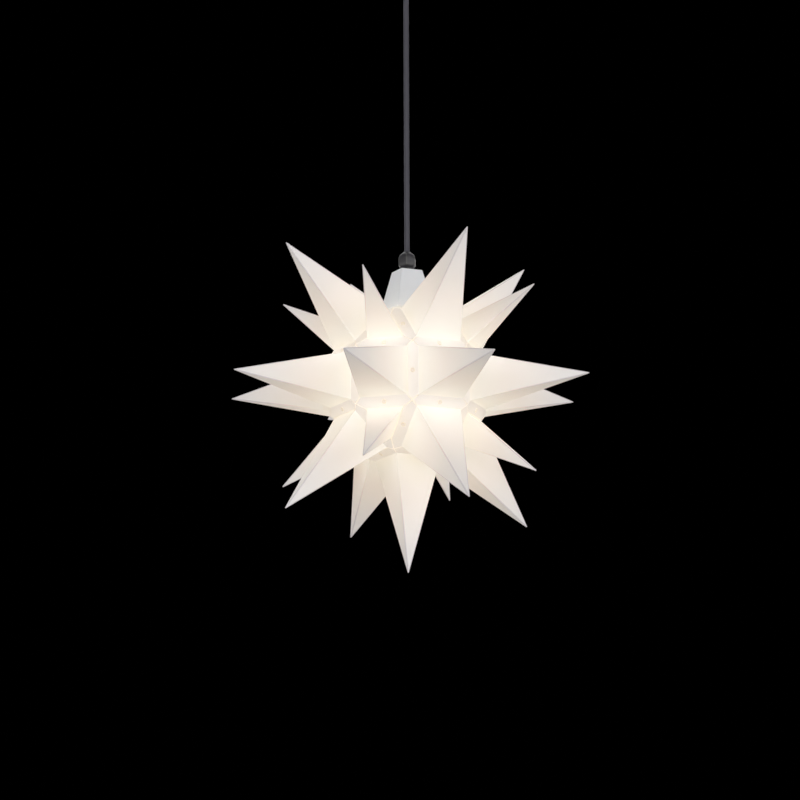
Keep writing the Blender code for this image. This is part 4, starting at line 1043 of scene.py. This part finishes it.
def makeLamp(size, holder):
    # the lamp but for its fins; heights are above the star's centre
    capFoot, foot = size["capFoot"], size["housingFoot"]
    mean, depth, pitch = holder["thread"], holder["threadDepth"], holder["pitch"]
    capTop, flareTop = capFoot + size["capHeight"], capFoot + size["flareHeight"]
    cap = [(mean - depth, capTop)]
    cap += threadRows(mean, capTop - 0.001, flareTop + 0.001, depth, pitch)
    cap += [
        (mean, flareTop), (0.0069, capFoot + 0.0008), (0.0072, capFoot), (0.00665, capFoot),
        (0.0056, flareTop), (0.0056, capTop),
    ]
    finishPiece(turnPiece("lampCap", cap, 64), "nickel", "lamp", "nickel", "lamp_cap")
    top = capFoot - touchGap
    housing = [
        (0.004, top + 0.0065), (0.0053, top + 0.0065), (0.0053, top), (0.007, top), (0.0074, top - 0.0006),
        (0.0078, top - 0.0024), (0.009, top - 0.0045), (0.0107, top - 0.0072), (0.0125, top - 0.0099),
        (0.0139, foot + 0.0036), (0.0148, foot + 0.0014), (size["housingRadius"], foot + 0.0003),
        (0.0152, foot), (0.0125, foot), (0.0125, foot + 0.0036), (0.004, top - 0.0024),
    ]
    housingPiece = turnPiece("lampHousing", housing, 96)
    wall, radius = size["globeWall"], size["globeRadius"]
    rim = size["boardRadius"] + touchGap + wall
    centre = foot - touchGap - sqrt(radius**2 - rim**2)

    def arc(reach, edge, steps=30):
        first = asin(edge / reach)
        angles = [first + (pi - first) * step / steps for step in range(steps)]
        rows = [(reach * sin(angle), centre + reach * cos(angle)) for angle in angles]
        return rows + [(0, centre - reach)]

    globe = arc(radius, rim) + list(reversed(arc(radius - wall, rim - wall)))
    finishPiece(turnPiece("lampGlobe", globe, 96), "globe", "lamp", "lamp_globe", "lamp_globe")
    return housingPiece


ringSettings = {
    "Shape": "Object",
    "Count": 2,
    "Centre": tuple(starCentre),
    "Finish": "Material",
}


def ringTree(name):
    # copies of one shape, evenly round Z, joined to what the object already is
    tree, given = newTree(name, ringSettings)
    points = addNode(tree, "GeometryNodePoints", {"Count": given["Count"], "Position": given["Centre"]})
    share = calc(tree, "DIVIDE", addNode(tree, "GeometryNodeInputIndex"), given["Count"])
    turn = combine(tree, z=calc(tree, "MULTIPLY", share, 2 * pi))
    placed = placeShape(tree, given["Shape"], {"Points": points, "Rotation": turn})
    return closeTree(tree, [placed, given["Geometry"]], given["Finish"])


finSettings = {
    "thickness": 0.0007,
    "sections": [  # up from the housing's foot, inner radius, outer radius
        (0.0042, 0.0128, 0.014), (0.0062, 0.012, 0.0137), (0.0092, 0.01, 0.0122),
    ],
    "topSections": [(0.0052, 0.008, 0.0098), (0.0042, 0.0076, 0.0089)],  # the same, down from the cap's foot
}


def makeFin(size, lamp):
    # a thin upright rib on the lamp's housing, seen from its centre line
    half, rings = size["thickness"] / 2, []
    sections = [(lamp["housingFoot"] + up, inner, outer) for up, inner, outer in size["sections"]]
    sections += [(lamp["capFoot"] - down, inner, outer) for down, inner, outer in size["topSections"]]
    for height, inner, outer in sections:
        rings.append([
            (inner, -half, height), (outer - 0.0002, -half, height), (outer, 0, height),
            (outer - 0.0002, half, height), (inner, half, height),
        ])
    low, high = [tuple(sum(axis) / 5 for axis in zip(*ring)) for ring in (rings[0], rings[-1])]
    return linkObject("housingFin", makeMesh("housingFin", *joinRings([[low], *rings, [high]])))


makeHolder(holderSettings)
housing = makeLamp(lampSettings, holderSettings)
applyTree(housing, ringTree("housingFins"), {
    "Shape": makeFin(finSettings, lampSettings),
    "Count": lampSettings["fins"],
    "Finish": finishes["lampWhite"],
})
finishPiece(housing, "lampWhite", "lamp", "lamp_white", "lamp_housing")
print("lampholder and lamp made")


# ceiling fitting
ceilingSettings = {
    "canopyRadius": 0.045,
    "canopyFoot": -0.04,
    "canopyWall": 0.0015,
    "canopyHole": 0.0053,
    "sideFoot": -0.025,
    "floorRadius": 0.018,
    "gripRadius": 0.008,
    "gripFoot": -0.0468,
    "gripRibs": 24,
    "gripDepth": 0.00035,
    "gripBore": 0.0031,
    "gripHeight": 0.014,  # of the grip's thread, which stands in the canopy
    "ball": -0.0482,  # the strain relief's ball, where the star swings from
    "ballRadius": 0.0047,
    "ballSocket": 0.005,
    "bootLength": 0.032,
    "bootRibs": 7,
    "screwHeight": -0.011,
}


def makeCanopy(size):
    radius, foot, side = size["canopyRadius"], size["canopyFoot"], size["sideFoot"]
    floor, wall, hole = size["floorRadius"], size["canopyWall"], size["canopyHole"]
    section = [
        (radius - wall, -0.0005), (radius - 0.0005, -0.0005), (radius, -0.001), (radius, side + 0.002),
        (radius - 0.0003, side + 0.0004), (radius - 0.0012, side - 0.001), (0.041, side - 0.0029),
        (0.037, side - 0.0056), (0.0328, side - 0.0083), (0.028, side - 0.0107), (0.0235, side - 0.0127),
        (0.0205, side - 0.014), (floor + 0.0008, side - 0.0147), (floor - 0.001, foot), (hole, foot),
        (hole, foot + wall), (floor, foot + wall), (0.0328, side - 0.0083 + wall),
        (radius - wall, side + 0.001),
    ]
    piece = turnPiece("ceilingCanopy", section, 128, centre=origin)
    return finishPiece(piece, "canopy", "ceiling_fitting", "canopy", "ceiling_canopy")


def makeGrip(size):
    foot, radius, top = size["gripFoot"], size["gripRadius"], size["canopyFoot"] - touchGap
    ball, bore, socket = size["ball"], size["gripBore"], size["ballSocket"]
    threadTop = top + size["gripHeight"]
    grip = ribbed(radius, size["gripRibs"], size["gripDepth"])
    section = [
        (bore, threadTop), (0.005, threadTop), (0.005, top), (radius - 0.0003, top), (radius, top - 0.0003),
        (radius, top - 0.001), (grip, top - 0.0014), (grip, foot + 0.0016), (radius - 0.0001, foot + 0.0012),
        (radius - 0.0006, foot + 0.0003), (radius - 0.0014, foot),
    ]
    for step in range(8):
        height = (foot - ball) + (sqrt(socket**2 - bore**2) - (foot - ball)) * step / 7
        section.append((sqrt(socket**2 - height**2), ball + height))
    piece = turnPiece("cordGrip", section, 144, centre=origin)
    return finishPiece(piece, "canopy", "ceiling_fitting", "canopy", "cord_grip")


bootSettings = {
    "Rib count": 7,
    "Start": (0, 0, 0),
    "Step": (0, 0, -0.004),
    "First radius": 0.0039,
    "Last radius": 0.0032,
    "Rib radius": 0.0006,
    "Rubber": "Material",
}


def bootTree():
    # round ribs down a tapering sleeve
    tree, given = newTree("strainReliefRibs", bootSettings)
    line = addNode(tree, "GeometryNodeMeshLine", {
        "Count": given["Rib count"], "Start Location": given["Start"], "Offset": given["Step"],
    })
    ring = addNode(tree, "GeometryNodeCurvePrimitiveCircle", {"Resolution": 48, "Radius": 1.0})
    beadSizes = {"Resolution": 10, "Radius": given["Rib radius"]}
    bead = addNode(tree, "GeometryNodeCurvePrimitiveCircle", beadSizes)
    last = calc(tree, "SUBTRACT", given["Rib count"], 1.0)
    index = addNode(tree, "GeometryNodeInputIndex")
    radius = spread(tree, index, given["First radius"], given["Last radius"], 0.0, last)
    size = combine(tree, radius, radius, 1.0)
    placed = addNode(tree, "GeometryNodeInstanceOnPoints", {"Points": line, "Instance": ring, "Scale": size})
    curves = addNode(tree, "GeometryNodeRealizeInstances", {"Geometry": placed})
    beads = addNode(tree, "GeometryNodeCurveToMesh", {"Curve": curves, "Profile Curve": bead})
    return closeTree(tree, [beads, given["Geometry"]], given["Rubber"])


def makeBoot(size):
    # the tapered sleeve on the cord, with the ball that it swings from
    ball, radius, foot = size["ball"], size["ballRadius"], size["ball"] - size["bootLength"]
    section = [(0, ball + radius)]
    for step in range(1, 13):
        angle = pi / 2 * (1 - step / 12)
        section.append((radius * cos(angle), ball + radius * sin(angle)))
    section += [
        (0.0046, ball - 0.002), (0.0044, ball - 0.0045), (0.004, ball - 0.006), (0.0033, foot + 0.0012),
        (0.0036, foot + 0.0008), (0.0036, foot + 0.0003), (0.0033, foot), (0, foot),
    ]
    piece = turnPiece("strainRelief", section, 64, closed=False, centre=origin)
    applyTree(piece, bootTree(), {
        "Rib count": size["bootRibs"],
        "Start": (0, 0, ball - 0.0068),
        "Step": (0, 0, -(size["bootLength"] - 0.0095) / (size["bootRibs"] - 1)),
        "Rubber": finishes["rubber"],
    })
    return finishPiece(piece, "rubber", "strain_relief", "cord", "strain_relief")


screwSettings = {
    "end": 0.0375,  # from the fitting's centre line
    "thread": 0.0014,
    "head": 0.0032,
    "headRise": 0.0011,
    "recess": (0.0034, 0.0006, 0.002),
}


def makeScrews(size, screw):
    # two pan head screws with a cross recess, through the canopy's side
    foot, thread, head, end = size["canopyRadius"] + touchGap, screw["thread"], screw["head"], screw["end"]
    section = [(0, end), (thread, end), (thread, foot), (head - 0.0001, foot), (head, foot + 0.0002)]
    section.append((head, foot + 0.0007))
    for step in range(1, 6):
        angle = pi / 2 * step / 6
        section.append((head * cos(angle), foot + 0.0007 + screw["headRise"] * sin(angle)))
    section.append((0, foot + 0.0018))
    model = turnPiece("screwModel", section, 48, closed=False, centre=origin)
    for turn in (0, 90):
        build = bmesh.new()
        shape = Matrix.Rotation(radians(turn), 4, "Z") @ Matrix.Diagonal((*screw["recess"], 1))
        bmesh.ops.create_cube(build, size=1.0, matrix=Matrix.Translation((0, 0, foot + 0.0019)) @ shape)
        recess = linkObject("recess", bpy.data.meshes.new("recess"))
        build.to_mesh(recess.data)
        build.free()
        cut = model.modifiers.new("recess", "BOOLEAN")
        cut.operation = "DIFFERENCE"
        cut.solver = "EXACT"
        cut.object = recess
        bake(model)
        bpy.data.objects.remove(recess, do_unlink=True)
    model.data.transform(Matrix.Rotation(pi / 2, 4, "X"))  # the head now points to -Y
    screws = linkObject("canopyScrews", bpy.data.meshes.new("canopyScrews"))
    applyTree(screws, ringTree("canopyScrewRing"), {
        "Shape": model,
        "Count": 2,
        "Centre": (0, 0, size["screwHeight"]),
        "Finish": finishes["steel"],
    })
    screws.data.shade_smooth()
    screws.data.set_sharp_from_angle(angle=creaseAngle)
    return finishPiece(screws, "steel", "ceiling_fitting", "steel", "canopy_screw_front", "canopy_screw_back")


canopy = makeCanopy(ceilingSettings)
grip = makeGrip(ceilingSettings)
boot = makeBoot(ceilingSettings)
screws = makeScrews(ceilingSettings, screwSettings)
print("ceiling fitting made")


# CAD solids that keep their shape
keptFinishes = {
    "gland_lock_nut": "gland",
    "gland_seal": "rubber",
    "lampholder_insert": "ceramic",
    "lampholder_contact": "brass",
    "lamp_tip_contact": "nickel",
    "lamp_insulator": "lampBlack",
    "lamp_board": "lampBoard",
    "lamp_driver": "lampBoard",
    "cord_grip_nut": "canopy",
    "terminal_block": "holder",
    "ceiling_plate": "steel",
}
for name, finishName in keptFinishes.items():
    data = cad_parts[name].data
    data.materials.clear()
    data.materials.append(finishes[finishName])

print("kept solids dressed")


# floor, light and background
studioSettings = {
    "floorHeight": -6.3,  # far down, so that the star can be seen from below too
    "floorRadius": 103,
    "floorColour": (0.82, 0.81, 0.79),
    "floorSides": 96,
    "background": (0.0, 0.0, 0.0),
    "ambient": 0.12,
    "softness": 80,  # the lamps' width in degrees
    "lamps": {  # azimuth, elevation, strength
        "leftLight": (-50, -10, 2.6),
        "rightLight": (25, -10, 2.2),
        "backLight": (161, 35, 1.6),
    },
}


def makeStudio(size):
    sides = size["floorSides"]
    mesh = bpy.data.meshes.new("floor")
    rim = ringAt(circleAngles(sides), size["floorRadius"], size["floorHeight"])
    mesh.from_pydata(rim, [], [range(sides)])
    floor = linkObject("floor", mesh)
    finish, tree, shader = startFinish("pale floor", 0.75)
    feedNode(tree, shader, {"Base Color": (*size["floorColour"], 1)})
    floor.data.materials.append(finish)
    for name, (azimuth, elevation, strength) in size["lamps"].items():
        lamp = linkObject(name, bpy.data.lights.new(name, "SUN"))
        lamp.data.energy = strength
        lamp.data.angle = radians(size["softness"])
        back = towards(azimuth, elevation)
        lamp.rotation_euler = back.to_track_quat("Z", "Y").to_euler()
        lamp.location = back * 3
    # the background's colour is for the camera, also through glass and in reflections; the rest is light
    world = bpy.data.worlds.new("studio")
    bpy.context.scene.world = world
    world.use_nodes = True
    tree = world.node_tree
    tree.nodes.clear()
    path = addNode(tree, "ShaderNodeLightPath").node.outputs
    seen = calc(tree, "MAXIMUM", path["Is Camera Ray"], path["Is Transmission Ray"])
    seen = calc(tree, "MAXIMUM", seen, path["Is Glossy Ray"])
    light = addNode(tree, "ShaderNodeBackground", {"Color": (1, 1, 1, 1), "Strength": size["ambient"]})
    shown = addNode(tree, "ShaderNodeBackground", {"Color": (*size["background"], 1), "Strength": 1.0})
    mix = addNode(tree, "ShaderNodeMixShader", {0: seen, 1: light, 2: shown})
    feedNode(tree, tree.nodes.new("ShaderNodeOutputWorld"), {"Surface": mix})


makeStudio(studioSettings)
bpy.context.scene.view_settings.view_transform = "Standard"
print("studio made")
